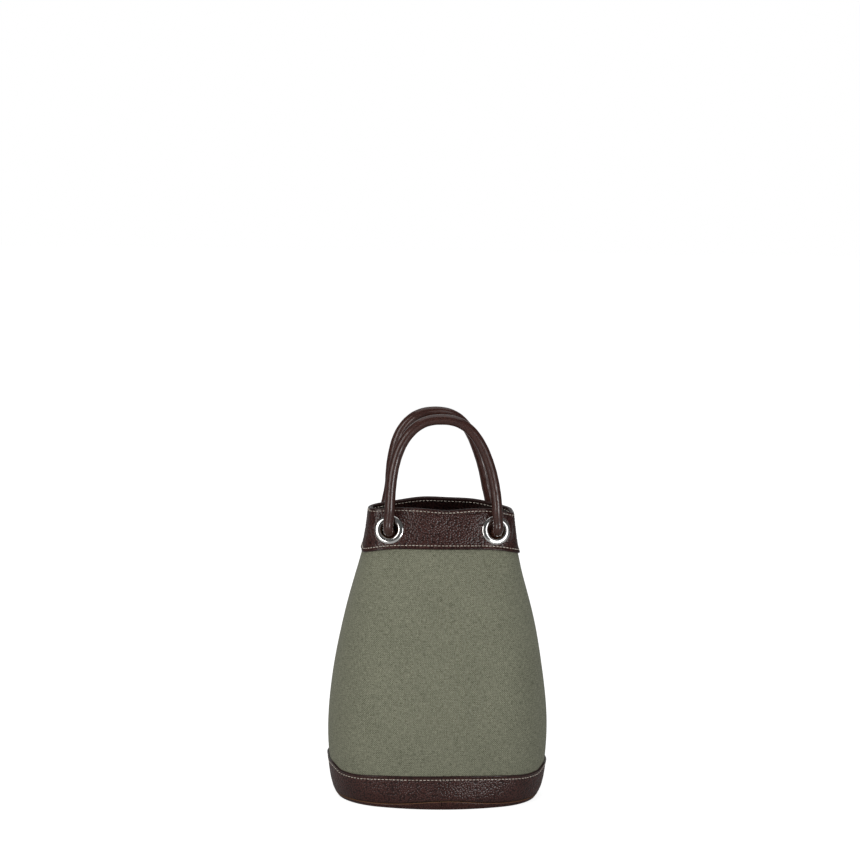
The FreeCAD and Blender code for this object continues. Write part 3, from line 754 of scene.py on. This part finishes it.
for face in FACES:
    name = f"canvas_{face}"
    t, z, gap, side_gap = wall_grid(face, level(2.4 * MM), above(rim_height, -4 * MM), 2.4 * MM, 1.0 * MM)
    inset = lip_inset(np.minimum(gap, side_gap), 1.0 * MM)
    outer = wall(t, z, -inset, face)
    inner = wall(t, z, -CANVAS + inset * 0.3, face)
    holes = open_holes(t, z, face, 0.0, CLOTH_HOLE_MARGIN)
    mesh = slab(f"{name}_panel", outer, inner, flat_of(t, z), holes)
    piece = add_piece(f"{name}_panel", mesh, canvas_finish)
    on_bag(piece, "canvas", name)
    wide, tall, area = flat_facts(t, z, outer)
    print(name, "flat size, mm:", round(wide / MM), "x", round(tall / MM), "area, cm2:", round(area * 1e4))

# %% [markdown]
# ## Stitch rows
#
# Five rows of stitches go round: one just under the mouth's edge, one above the lower edge
# of the top band, the same two inside on the facing, and one below the upper edge of the
# bottom band. A row is a height on the wall. The leather is pulled in along it, so the rows
# come before the leather.

# %% Rows and the groove they make
RIM_ROW, COLLAR_ROW, HEM_ROW = 3.2 * MM, 3.8 * MM, 4.0 * MM
TOP_PITCH, HEM_PITCH = 3.8 * MM, 3.95 * MM


def pulled_in(distance, run, pitch):
    """Depth of the groove along a row of stitches, deepest where the needle went in."""
    return bump(distance, 0, 0.85 * MM) * (0.16 + 0.07 * np.cos(2 * math.pi * run / pitch)) * MM


# %% [markdown]
# ## Leather bands
#
# The top band goes round the mouth and the bottom band round the foot, each in a front and a
# rear half that meet at the side seams. Their grid is fine enough for every pebble. The top
# band's lower edge flares out a little and shades the canvas under it.

# %% Bands
GRAIN_DEPTH = 0.44 * MM
LIP = 1.1 * MM


def band_piece(name, face, low, high, rows, pitch, flare, with_holes, seed, node_name):
    """Half of a leather band. rows are distances of stitch rows from its lower or upper edge."""
    t, z, gap, side_gap = wall_grid(face, low, high, 0.56 * MM, LIP)
    flat = flat_of(t, z)
    edge = np.minimum(gap, side_gap)
    from_low, from_high = z - z[0], z[-1] - z
    grain = pebbles(flat[..., 0], flat[..., 1] * 1.08, 2.25 * MM, seed)
    calm = smooth(edge, 0.3 * MM, 2.2 * MM)
    groove = sum(pulled_in(from_low - d if d > 0 else from_high + d, flat[..., 0], pitch) for d in rows)
    if with_holes:
        lifted = flare * (1 - smooth(from_low, 0, 6 * MM))
    else:
        lifted = flare * (1 - smooth(from_high, 0, 4 * MM))
    settled = smooth(side_gap, 0, 6 * MM)
    outside = BAND + lifted * settled - lip_inset(edge, LIP) + GRAIN_DEPTH * (grain - 0.75) * calm - groove
    inside = 0.04 * MM + lifted * settled * 0.9
    keep = open_holes(t, z, face, BAND) if with_holes else None
    # Near the edges the colour goes dark: partly the leather's dark edge paint, and partly painted shade for
    # the shadow line along each edge.
    shown = grain * calm + (1 - calm) * 0.12
    mesh = slab(name, wall(t, z, outside, face), wall(t, z, inside, face), flat, keep, shown)
    on_bag(add_piece(name, mesh, band_leather), "leather", node_name)
    print(name, "faces:", len(mesh.polygons))


for number, face in enumerate(FACES):
    band_piece(
        f"top_band_{face}_leather",
        face,
        collar_height,
        rim_height,
        (COLLAR_ROW, -RIM_ROW),
        TOP_PITCH,
        0.8 * MM,
        True,
        11 + number,
        f"top_band_{face}",
    )
    band_piece(
        f"bottom_band_{face}_leather",
        face,
        seam_height,
        hem_height,
        (-HEM_ROW,),
        HEM_PITCH,
        0.6 * MM,
        False,
        21 + number,
        f"bottom_band_{face}",
    )

# %% [markdown]
# ## Facing and lining
#
# Inside the mouth a leather facing hides the canvas's raw edge. At the very rim it closes over
# the canvas and meets the outer band, and the two are sewn together. Below the facing the bag
# is lined with plain cotton, which hangs a little slack.

# %% Facing


def facing_piece(face, seed):
    """Leather facing inside the mouth, in darker leather colours that are painted shade."""
    name = f"facing_{face}"
    t, z, gap, side_gap = wall_grid(face, collar_height, rim_height, 0.9 * MM, 0.9 * MM)
    flat = flat_of(t, z)
    edge = np.minimum(gap, side_gap)
    from_high = z[-1] - z
    grain = pebbles(flat[..., 0], flat[..., 1], 2.5 * MM, seed)
    calm = smooth(edge, 0.3 * MM, 2.2 * MM)
    rows = (from_high - RIM_ROW, z - z[0] - COLLAR_ROW)
    groove = sum(pulled_in(distance, flat[..., 0], TOP_PITCH) for distance in rows)
    outside = -CANVAS - 0.03 * MM + (CANVAS - 0.02 * MM) * (1 - smooth(from_high, 2.2 * MM, 3.8 * MM))
    inside = -CANVAS - FACING + lip_inset(edge, 0.9 * MM) - 0.22 * MM * (grain - 1) * calm + groove
    mesh = slab(
        f"{name}_leather",
        wall(t, z, outside, face),
        wall(t, z, inside, face),
        flat,
        open_holes(t, z, face, BAND),
        grain * calm + (1 - calm) * 0.6,
    )
    swap = mesh.attributes["grain"]
    values = np.empty(len(mesh.vertices), np.float32)
    swap.data.foreach_get("value", values)
    half = len(values) // 2
    swap.data.foreach_set("value", np.concatenate([values[half:], values[:half]]))
    on_bag(add_piece(f"{name}_leather", mesh, facing_leather_painted_shade), "leather", name)


for number, face in enumerate(FACES):
    facing_piece(face, 31 + number)

# %% Lining


def slack(t, z):
    """How far the lining hangs away from the canvas."""
    hang = smooth(z, 0.012, 0.05) * (1 - smooth(z, 0.215, 0.25)) * (1 - abs(t) ** 6)
    run = outline(t, z)[2]
    folds = 0.6 * np.sin(run / 0.019) * np.sin(z / 0.033 + 0.6)
    creases = 0.3 * np.sin(run / 0.0071 + z / 0.02)
    return hang * MM * (0.9 + folds + creases)


for face in FACES:
    name = f"lining_{face}"
    t, z, gap, side_gap = wall_grid(
        face, level(FLOOR_TOP + 0.1 * MM), above(collar_height, -0.3 * MM), 3.2 * MM, 0.7 * MM
    )
    inset = lip_inset(np.minimum(gap, side_gap), 0.35 * MM)
    away = slack(t, z)
    outer = wall(t, z, -CANVAS - 0.04 * MM - away - inset, face)
    inner = wall(t, z, -CANVAS - LINING - away + inset, face)
    piece = add_piece(f"{name}_panel", slab(f"{name}_panel", outer, inner, flat_of(t, z)), lining_finish)
    on_bag(piece, "lining", name)
    wide, tall, area = flat_facts(t, z, outer)
    print(name, "flat size, mm:", round(wide / MM), "x", round(tall / MM), "area, cm2:", round(area * 1e4))

# %% [markdown]
# ## The base
#
# The bag stands on an oval leather panel, with a stiff board and a lining floor above it. A
# narrow strip of the same leather goes round the foot, and its two ends meet at the front
# centre. Where the strip is seamed to the bottom band a thin tan ring runs round.

# %% Rings and discs
MEAN_FOOT_RADIUS = 80 * MM


def outward(mesh):
    """Turn a closed mesh's faces outwards if they point inwards."""
    work = bmesh.new()
    work.from_mesh(mesh)
    if work.calc_volume(signed=True) < 0:
        bmesh.ops.reverse_faces(work, faces=work.faces[:])
    work.to_mesh(mesh)
    work.free()
    mesh.shade_smooth()
    return mesh


def skin_rings(name, rings, closed_along=False):
    """Mesh through a stack of rings (rings, points, 3). Its ends are capped unless it closes."""
    count, around = rings.shape[:2]
    number = np.arange(count * around).reshape(count, around)
    following = np.roll(number, -1, axis=1)
    above_number, above_following = np.roll(number, -1, axis=0), np.roll(following, -1, axis=0)
    faces = np.stack([number, following, above_following, above_number], -1)
    if not closed_along:
        faces = faces[:-1]
    faces = faces.reshape(-1, 4).tolist()
    points = rings.reshape(-1, 3).tolist()
    if not closed_along:
        for row, flip in ((0, True), (count - 1, False)):
            points.append(rings[row].mean(axis=0).tolist())
            tip = len(points) - 1
            for a, b in zip(number[row].tolist(), following[row].tolist()):
                faces.append([tip, b, a] if flip else [tip, a, b])
    mesh = bpy.data.meshes.new(name)
    mesh.from_pydata(points, [], faces)
    return outward(mesh)


def loop_points(p, z, out):
    """Points right round the bag: p runs from 0 to 4, from the front centre to the right."""
    p, z, out = np.broadcast_arrays(p, z, out)
    front = wall(np.where(p < 1, p, np.clip(p - 4, -1, 0)), z, out, "front")
    rear = wall(np.clip(p - 2, -1, 1), z, out, "rear")
    return np.where(((p >= 1) & (p < 3))[..., None], rear, front)


def disc(name, low, high, out, lip):
    """Oval slab between two heights, rounded at its edge."""
    around = np.arange(220) / 220 * 4
    edge = loop_points(around, 0.5 * (low + high), out)
    shares = (0.04, 0.2, 0.4, 0.6, 0.8, 0.93)
    profile = [(share, low) for share in shares]
    for first, middle in ((-90, low + lip), (0, high - lip)):
        for angle in np.radians(np.linspace(first, first + 90, 5)):
            fall = lip - lip * math.cos(angle)
            profile.append((1 - fall / MEAN_FOOT_RADIUS, middle + lip * math.sin(angle)))
    profile += [(share, high) for share in reversed(shares)]
    rings = [
        np.concatenate([edge[:, :2] * share, np.full((len(edge), 1), height)], 1) for share, height in profile
    ]
    return skin_rings(name, np.stack(rings))


# %% Base panel, board, lining floor
panel_low, panel_high = 0.0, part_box("base_panel")[1].z
board_low, board_high = (corner.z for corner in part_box("base_board"))
cloth_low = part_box("base_lining")[0].z
OVALS = (
    # name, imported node, bottom, top, distance outside the canvas, edge radius, finish, slot; a
    # negative distance lies inside
    (
        "base_panel_leather",
        "base_panel",
        panel_low,
        panel_high,
        -0.02 * MM,
        0.8 * MM,
        small_leather,
        "leather",
    ),
    (
        "base_lining_cloth",
        "base_lining",
        cloth_low + 0.02 * MM,
        FLOOR_TOP,
        -CANVAS - 0.1 * MM,
        0.38 * MM,
        lining_finish,
        "lining",
    ),
    (
        "base_board_sheet",
        "base_board",
        board_low + 0.02 * MM,
        board_high - 0.02 * MM,
        -2.4 * MM,
        0.3 * MM,
        board_finish,
        "board",
    ),
)
for name, packed, low, high, out, lip, finish, slot in OVALS:
    on_bag(add_piece(name, disc(name, low, high, out, lip), finish), slot, packed)
    print(name, "thickness, mm:", round((high - low) / MM, 2))

# %% Strip round the foot and a thin tan ring at its seam
FOOT_GIRTH = 0.66
STRIP_END = 0.0015


def foot_ring(name, low, high, inside, outside, step, lip, finish):
    """A ring round the foot, open at the front centre, as one closed slab."""
    p = np.linspace(STRIP_END, 4 - STRIP_END, round(FOOT_GIRTH / step))
    t_like = np.where(p < 1, p, np.where(p < 3, p - 2, p - 4))
    front = (p < 1) | (p >= 3)
    floor_z = np.where(front, low(t_like, "front"), low(t_like, "rear"))
    top_z = np.where(front, high(t_like, "front"), high(t_like, "rear"))
    tall = float((top_z - floor_z).max())
    v = spread(tall, 0.9 * MM, lip)[:, None]
    z = floor_z + v * (top_z - floor_z)
    inset = lip_inset(np.minimum(z - floor_z, top_z - z), lip)
    outer = loop_points(p[None, :], z, outside - inset)
    inner = loop_points(p[None, :], z, np.full_like(z, inside))
    flat = np.stack([np.broadcast_to(p * FOOT_GIRTH / 4, z.shape), z], -1)
    return add_piece(name, slab(name, outer, inner, flat), finish)


strip = foot_ring(
    "base_strip_leather",
    level(0.6 * MM),
    above(seam_height, -1.0 * MM),
    0.03 * MM,
    BAND,
    1.2 * MM,
    0.8 * MM,
    small_leather,
)
# A thin tan ring runs round where the strip meets the bottom band, lighter than the leather beside it.
tan_ring = foot_ring(
    "base_strip_tan_line",
    above(seam_height, -0.95 * MM),
    above(seam_height, -0.35 * MM),
    0.2 * MM,
    BAND + 0.12 * MM,
    1.2 * MM,
    0.12 * MM,
    tan_line_finish,
)
on_bag(strip, "leather", "base_strip")
on_bag(tan_ring, "leather")
print("strip faces:", len(strip.data.polygons), "| raw edge faces:", len(tan_ring.data.polygons))

# %% [markdown]
# ## Eyelets
#
# An eyelet is a turned ring: a domed flange on the leather, a barrel through the wall and a lip
# rolled over the washer inside. Its section is drawn once and turned about the axis, which is
# how the real one is pressed. The barrel shows bare brass where the plating is thin.

# %% Turned eyelets


def smooth_path(points, step):
    """Even points along a soft curve through the given ones."""
    points = np.asarray(points, float)
    padded = np.concatenate([[2 * points[0] - points[1]], points, [2 * points[-1] - points[-2]]])
    runs = []
    for a, b, c, d in zip(padded, padded[1:], padded[2:], padded[3:]):
        s = np.linspace(0, 1, 24, endpoint=False)[:, None]
        curve = (2 * a - 5 * b + 4 * c - d) * s**2 + (3 * b - a - 3 * c + d) * s**3
        runs.append(0.5 * (2 * b + (c - a) * s + curve))
    dense = np.concatenate([*runs, points[-1:]])
    along = np.concatenate([[0], np.cumsum(np.linalg.norm(np.diff(dense, axis=0), axis=1))])
    even = np.linspace(0, along[-1], max(2, round(along[-1] / step)) + 1)
    return np.stack([np.interp(even, along, dense[:, axis]) for axis in range(dense.shape[1])], -1)


EYELET_SECTION = [
    # (distance from the axis, height above the leather), in millimetres
    (14.7, 0.02),
    (15.0, 0.22),
    (14.85, 0.55),
    (14.2, 0.95),
    (13.0, 1.38),
    (11.7, 1.55),
    (10.4, 1.48),
    (9.4, 1.15),
    (8.7, 0.55),
    (8.4, -0.2),
    (8.3, -1.5),
    (8.3, -4.4),
    (8.6, -5.3),
    (9.3, -5.65),
    (10.2, -5.6),
    (10.6, -5.25),
    (10.1, -5.0),
    (9.2, -4.9),
    (8.95, -4.2),
    (8.95, -0.4),
    (9.4, 0.12),
    (10.8, 0.3),
    (13.2, 0.12),
]


def seat_points(local, side, face):
    """Points given as (across, up, out) from an eyelet's seat, moved to the bag."""
    centre, across, up, out = SEATS[side]
    placed = np.array(centre) + local @ np.array([across, up, out])
    return turned(placed, face)


section = smooth_path([*EYELET_SECTION, EYELET_SECTION[0]], 0.25)[:-1] * MM
SIDE_NAMES = {-1: "left", 1: "right"}
BARREL_RADIUS = 8.95 * MM
PLATED_ABOVE = 0.8 * MM
angles = np.linspace(0, 2 * math.pi, 96, endpoint=False)
for face in FACES:
    for side, side_name in SIDE_NAMES.items():
        name = f"eyelet_{face}_{side_name}"
        heights = np.repeat(section[:, 1:], len(angles), axis=1)
        local = np.stack([section[:, :1] * np.cos(angles), section[:, :1] * np.sin(angles), heights], -1)
        mesh = skin_rings(f"{name}_ring", seat_points(local, side, face), closed_along=True)
        piece = add_piece(f"{name}_ring", mesh, plate_finish)
        mesh.materials.append(brass_finish)
        centre = Vector(seat_points(np.zeros(3), side, face))
        axis = Vector(seat_points(np.array([0, 0, 1.0]), side, face)) - centre
        for polygon in mesh.polygons:
            offset = polygon.center - centre
            depth = offset.dot(axis)
            radius = (offset - axis * depth).length
            if radius < BARREL_RADIUS and depth < PLATED_ABOVE:
                polygon.material_index = 1
        on_bag(piece, "polished_metal", name)
        washer = frame["nodes"][f"eyelet_washer_{face}_{side_name}"]
        washer.data.materials.clear()
        washer.data.materials.append(plate_finish)
print("eyelet section points:", len(section))

# %% [markdown]
# ## Rolled handles
#
# A rolled handle is one strip of leather wrapped round a cord and sewn into a tube. It comes
# out of one eyelet, arches over and goes in at the other, and inside the bag each end is
# flattened into a tab and sewn to the facing. So it is one continuous piece here as well. The
# leather turns softly where it leaves the eyelets.

# %% Handle path
HANDLE_RADIUS = 5.4 * MM
HANDLE_LEAN = math.radians(3.5)
ARCH_POWER = 2.42
ARCH_HALF = 56.3 * MM

joints = {joint["name"]: joint for joint in frame["joints"]}
PIVOT = Vector(joints["front_handle_tilt"]["pos_m"])
crown_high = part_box("front_handle_cover")[1].z - HANDLE_RADIUS
print("front hinge at, mm:", [round(value / MM, 1) for value in PIVOT])
ARCH_RISE = (crown_high - PIVOT.z) / math.cos(HANDLE_LEAN)
PLANE_UP = np.array([0, math.sin(HANDLE_LEAN), math.cos(HANDLE_LEAN)])
PLANE_FRONT = np.array([0, -math.cos(HANDLE_LEAN), math.sin(HANDLE_LEAN)])

# The end of the roll, as (up, out) from the eyelet's seat, in millimetres: from outside,
# through the hole, then down inside as a tab.
END_POINTS = [
    (6.5, 8.5),
    (1.0, 7.7),
    (-1.6, 4.6),
    (-2.2, 0.5),
    (-2.8, -4.0),
    (-5.6, -7.4),
    (-10.5, -7.7),
    (-16.0, -6.6),
    (-22.0, -6.1),
    (-31.0, -6.1),
]


def half_path():
    """Right half of the handle's centreline, from the crown to the tab's end."""
    angles = np.linspace(90, 4, 44)
    x = ARCH_HALF * np.cos(np.radians(angles)) ** (2 / ARCH_POWER)
    rise = ARCH_RISE * np.sin(np.radians(angles)) ** (2 / ARCH_POWER)
    keep = rise > 15 * MM
    arch = np.array(PIVOT) * np.array([0, 1, 1]) + np.stack([x, np.zeros_like(x), np.zeros_like(x)], -1)
    arch = arch + rise[:, None] * PLANE_UP
    local = np.array([(0.0, up, out) for up, out in END_POINTS]) * MM
    return np.concatenate([arch[keep], seat_points(local, 1, "front")])


def soften(points, times):
    """Round a path off a little by averaging neighbours."""
    for _ in range(times):
        points[1:-1] = 0.25 * points[:-2] + 0.5 * points[1:-1] + 0.25 * points[2:]
    return points


right = soften(smooth_path(half_path(), 1.3 * MM), 3)
left = right[:0:-1] * np.array([-1.0, 1.0, 1.0])
even_path = np.concatenate([left, right])
even_path[len(left), 0] = 0.0


def handle_path(narrow, sway):
    """The centreline with its legs drawn together and its crown swayed to one side."""
    path = even_path.copy()
    rise = (path[:, 2] - PIVOT.z) / (crown_high - PIVOT.z)
    path[:, 0] *= 1 - narrow * smooth(rise, 0.06, 0.34) * (1 - 0.6 * smooth(rise, 0.6, 1.0))
    path[:, 0] += sway * smooth(rise, 0.15, 0.85)
    return path


# (how much narrower its legs stand, how far its crown sways), each seen from its own side
HANDLE_HABIT = {"front": (0.0, -3.0 * MM), "rear": (0.065, 5.0 * MM)}

# %% Handle tubes
AROUND = 48


def handle_mesh(name, face):
    """One rolled handle: round over the arch, flat at its two sewn tabs."""
    path = handle_path(*HANDLE_HABIT[face])
    along = np.concatenate([[0], np.cumsum(np.linalg.norm(np.diff(path, axis=0), axis=1))])
    print(name, "length along its middle, mm:", round(along[-1] / MM), "rings:", len(path))
    tangent = np.gradient(path, along, axis=0)
    tangent /= np.linalg.norm(tangent, axis=1, keepdims=True)
    end = np.minimum(along, along[-1] - along)
    side = np.sign(path[:, 0])
    side[side == 0] = 1
    arch_out = np.cross(np.broadcast_to(PLANE_FRONT, path.shape), tangent)
    seat_across = np.array([np.array(SEATS[1][1]) if s > 0 else -np.array(SEATS[-1][1]) for s in side])
    low_leg = 1 - smooth(end, 42 * MM, 58 * MM)
    lateral = arch_out * (1 - low_leg)[:, None] + seat_across * low_leg[:, None]
    lateral -= tangent * (lateral * tangent).sum(1, keepdims=True)
    lateral /= np.linalg.norm(lateral, axis=1, keepdims=True)
    front = np.cross(tangent, lateral)
    angle = np.linspace(0, 2 * math.pi, AROUND, endpoint=False)
    flat_share = 1 - smooth(end, 13 * MM, 24 * MM)
    half_wide = HANDLE_RADIUS * (1 - flat_share) + 6.3 * MM * flat_share
    half_thick = HANDLE_RADIUS * (1 - flat_share) + 1.35 * MM * flat_share
    tip = np.sqrt(np.clip(end / (5 * MM), 0.02, 1) * (2 - np.clip(end / (5 * MM), 0.02, 1)))
    half_wide = half_wide * tip
    wrinkle = 0.07 * MM * np.sin(along / 0.0019) + 0.06 * MM * np.sin(along / 0.0047 + 1.0)
    bend = bump(end, 38 * MM, 8 * MM)
    round_part = 1 - flat_share
    seam_at = np.radians(-52 - 70 * smooth(along, 0.10, along[-1] - 0.10))
    away = np.angle(np.exp(1j * (angle[None, :] - seam_at[:, None])))
    ridge = 0.95 * MM * np.exp(-((away / 0.17) ** 2)) - 0.30 * MM * np.exp(-(((away - 0.42) / 0.16) ** 2))
    swell = (ridge + (wrinkle * (0.5 + 1.6 * bend))[:, None]) * round_part[:, None]
    cos, sin = np.cos(angle), np.sin(angle)
    power = 1 - 0.45 * flat_share[:, None]
    wide = (half_wide[:, None] + swell) * np.sign(cos) * abs(cos) ** power
    thick = (half_thick[:, None] + swell) * np.sign(sin) * abs(sin) ** power
    rings = path[:, None, :] + lateral[:, None, :] * wide[..., None] + front[:, None, :] * thick[..., None]
    return skin_rings(name, turned(rings, face))


for face in FACES:
    body = f"{face}_handle"
    piece = add_piece(f"{body}_roll", handle_mesh(f"{body}_roll", face), roll_leather)
    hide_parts(f"{body}_cover", f"{body}_core", f"handle_end_{face}_left", f"handle_end_{face}_right")
    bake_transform(piece)

# %% [markdown]
# ## Stitches
#
# Hundreds of equal stitches follow a few lines, which is a job for Geometry Nodes. Each line is
# a string of points that also know which way is out of the leather. The tree turns it into a
# curve, spaces points along it by the stitch pitch, and puts a small bowed thread on each,
# lying along the line with its ends in the leather.

# %% Stitch tree


def stitch_tree():
    """Geometry Nodes: a line with an out direction becomes a row of stitches."""
    tree = bpy.data.node_groups.new("stitches_along_a_line", "GeometryNodeTree")
    tree.interface.new_socket("Line", in_out="INPUT", socket_type="NodeSocketGeometry")
    sockets = {}
    for label in ("Pitch", "Length", "Thread radius", "Rise"):
        size = tree.interface.new_socket(label, in_out="INPUT", socket_type="NodeSocketFloat")
        sockets[label] = size.identifier
    tree.interface.new_socket("Stitches", in_out="OUTPUT", socket_type="NodeSocketGeometry")
    given = tree.nodes.new("NodeGroupInput").outputs
    result = tree.nodes.new("NodeGroupOutput").inputs
    line = node(tree, "GeometryNodeMeshToCurve", {"Mesh": given["Line"]})
    even = node(tree, "GeometryNodeResampleCurve", {"Curve": line.outputs[0]}, mode="LENGTH")
    tree.links.new(given["Pitch"], even.inputs["Length"])
    half = maths(tree, "MULTIPLY", given["Length"], 0.5)
    back = maths(tree, "MULTIPLY", half, -1.0)
    dip = maths(tree, "MULTIPLY", given["Rise"], -0.9)
    first = node(tree, "ShaderNodeCombineXYZ", {"X": back, "Z": dip})
    top = node(tree, "ShaderNodeCombineXYZ", {"Z": maths(tree, "MULTIPLY", given["Rise"], 2.2)})
    last = node(tree, "ShaderNodeCombineXYZ", {"X": half, "Z": dip})
    bow = node(
        tree,
        "GeometryNodeCurveQuadraticBezier",
        {"Resolution": 6, "Start": first.outputs[0], "Middle": top.outputs[0], "End": last.outputs[0]},
    )
    round_section = node(
        tree, "GeometryNodeCurvePrimitiveCircle", {"Resolution": 7, "Radius": given["Thread radius"]}
    )
    thread = node(
        tree,
        "GeometryNodeCurveToMesh",
        {"Curve": bow.outputs[0], "Profile Curve": round_section.outputs[0], "Fill Caps": True},
    )
    out = node(tree, "GeometryNodeInputNamedAttribute", {"Name": "out"}, data_type="FLOAT_VECTOR")
    run = node(tree, "GeometryNodeInputTangent")
    lying = node(tree, "FunctionNodeAlignRotationToVector", {"Vector": run.outputs[0]}, axis="X")
    upright = node(
        tree,
        "FunctionNodeAlignRotationToVector",
        {"Rotation": lying.outputs[0], "Vector": out.outputs[0]},
        axis="Z",
        pivot_axis="X",
    )
    placed = node(
        tree,
        "GeometryNodeInstanceOnPoints",
        {"Points": even.outputs[0], "Instance": thread.outputs[0], "Rotation": upright.outputs[0]},
    )
    real = node(tree, "GeometryNodeRealizeInstances", {"Geometry": placed.outputs[0]})
    shaded = node(tree, "GeometryNodeSetMaterial", {"Geometry": real.outputs[0], "Material": thread_finish})
    tree.links.new(shaded.outputs[0], result[0])
    return tree, sockets


STITCHES, STITCH_SOCKETS = stitch_tree()

# %% Rows of stitches


def row_of(face, height, out, t_end=0.985, inward=False):
    """A line along the wall at a height rule, with the direction out of the leather."""
    t = np.linspace(-t_end, t_end, 420)
    z = height(t, face)
    points = wall(t, z, out, face)
    away = wall(t, z, out + 1 * MM, face) - points
    return points, -away if inward else away


def stitch_piece(name, lines, pitch, length, body):
    """Turn lines into one plain mesh of stitches that rides on a body."""
    points, outs, edges, total = [], [], [], 0
    for line, away in lines:
        points.append(line)
        outs.append(away / np.linalg.norm(away, axis=1, keepdims=True))
        edges.append(np.stack([np.arange(len(line) - 1), np.arange(1, len(line))], -1) + total)
        total += len(line)
    guide_mesh = bpy.data.meshes.new(f"{name}_guide")
    guide_mesh.from_pydata(np.concatenate(points).tolist(), np.concatenate(edges).tolist(), [])
    directions = guide_mesh.attributes.new("out", "FLOAT_VECTOR", "POINT")
    directions.data.foreach_set("vector", np.concatenate(outs).astype(np.float32).ravel())
    guide = bpy.data.objects.new(f"{name}_guide", guide_mesh)
    scene.collection.objects.link(guide)
    modifier = guide.modifiers.new("stitches", "NODES")
    modifier.node_group = STITCHES
    sizes = {"Pitch": pitch, "Length": length, "Thread radius": 0.37 * MM, "Rise": 0.40 * MM}
    for label, value in sizes.items():
        modifier[STITCH_SOCKETS[label]] = value
    seen = guide.evaluated_get(bpy.context.evaluated_depsgraph_get())
    mesh = bpy.data.meshes.new_from_object(seen)
    mesh.name = name
    guide.modifiers.clear()
    bpy.data.objects.remove(guide)
    mesh.shade_smooth()
    piece = add_piece(name, mesh, thread_finish)
    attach(piece, body)
    print(name, "faces:", len(mesh.polygons))


STITCH_LIFT = 0.02 * MM
OUTER, INNER = BAND + STITCH_LIFT, -CANVAS - FACING + 0.2 * MM
rim_line, collar_line = above(rim_height, -RIM_ROW), above(collar_height, COLLAR_ROW)
hem_line = above(hem_height, -HEM_ROW)
mouth_rows, collar_rows, hem_rows, tab_rows = [], [], [], []
TAB_ROW = [(-3.9, -14.0), (-3.9, -28.0), (3.9, -28.0), (3.9, -14.0)]
TAB_FACE = -7.5
for face in FACES:
    mouth_rows.append(row_of(face, rim_line, OUTER - 0.2 * MM))
    mouth_rows.append(row_of(face, rim_line, INNER, inward=True))
    collar_rows.append(row_of(face, collar_line, OUTER + 0.1 * MM))
    collar_rows.append(row_of(face, collar_line, INNER, inward=True))
    hem_rows.append(row_of(face, hem_line, OUTER - 0.15 * MM))
    for side in SEATS:
        local = smooth_path([(x, up, TAB_FACE) for x, up in TAB_ROW], 0.8) * MM
        line = seat_points(local, side, face)
        inward = seat_points(local - np.array([0, 0, 1 * MM]), side, face) - line
        tab_rows.append((line, inward))
stitch_piece("mouth_stitches", mouth_rows, TOP_PITCH, 2.35 * MM, "bag")
stitch_piece("collar_stitches", collar_rows, TOP_PITCH, 2.35 * MM, "bag")
stitch_piece("hem_stitches", hem_rows, HEM_PITCH, 2.4 * MM, "bag")
stitch_piece("tab_stitches", tab_rows, 3.4 * MM, 2.3 * MM, "bag")
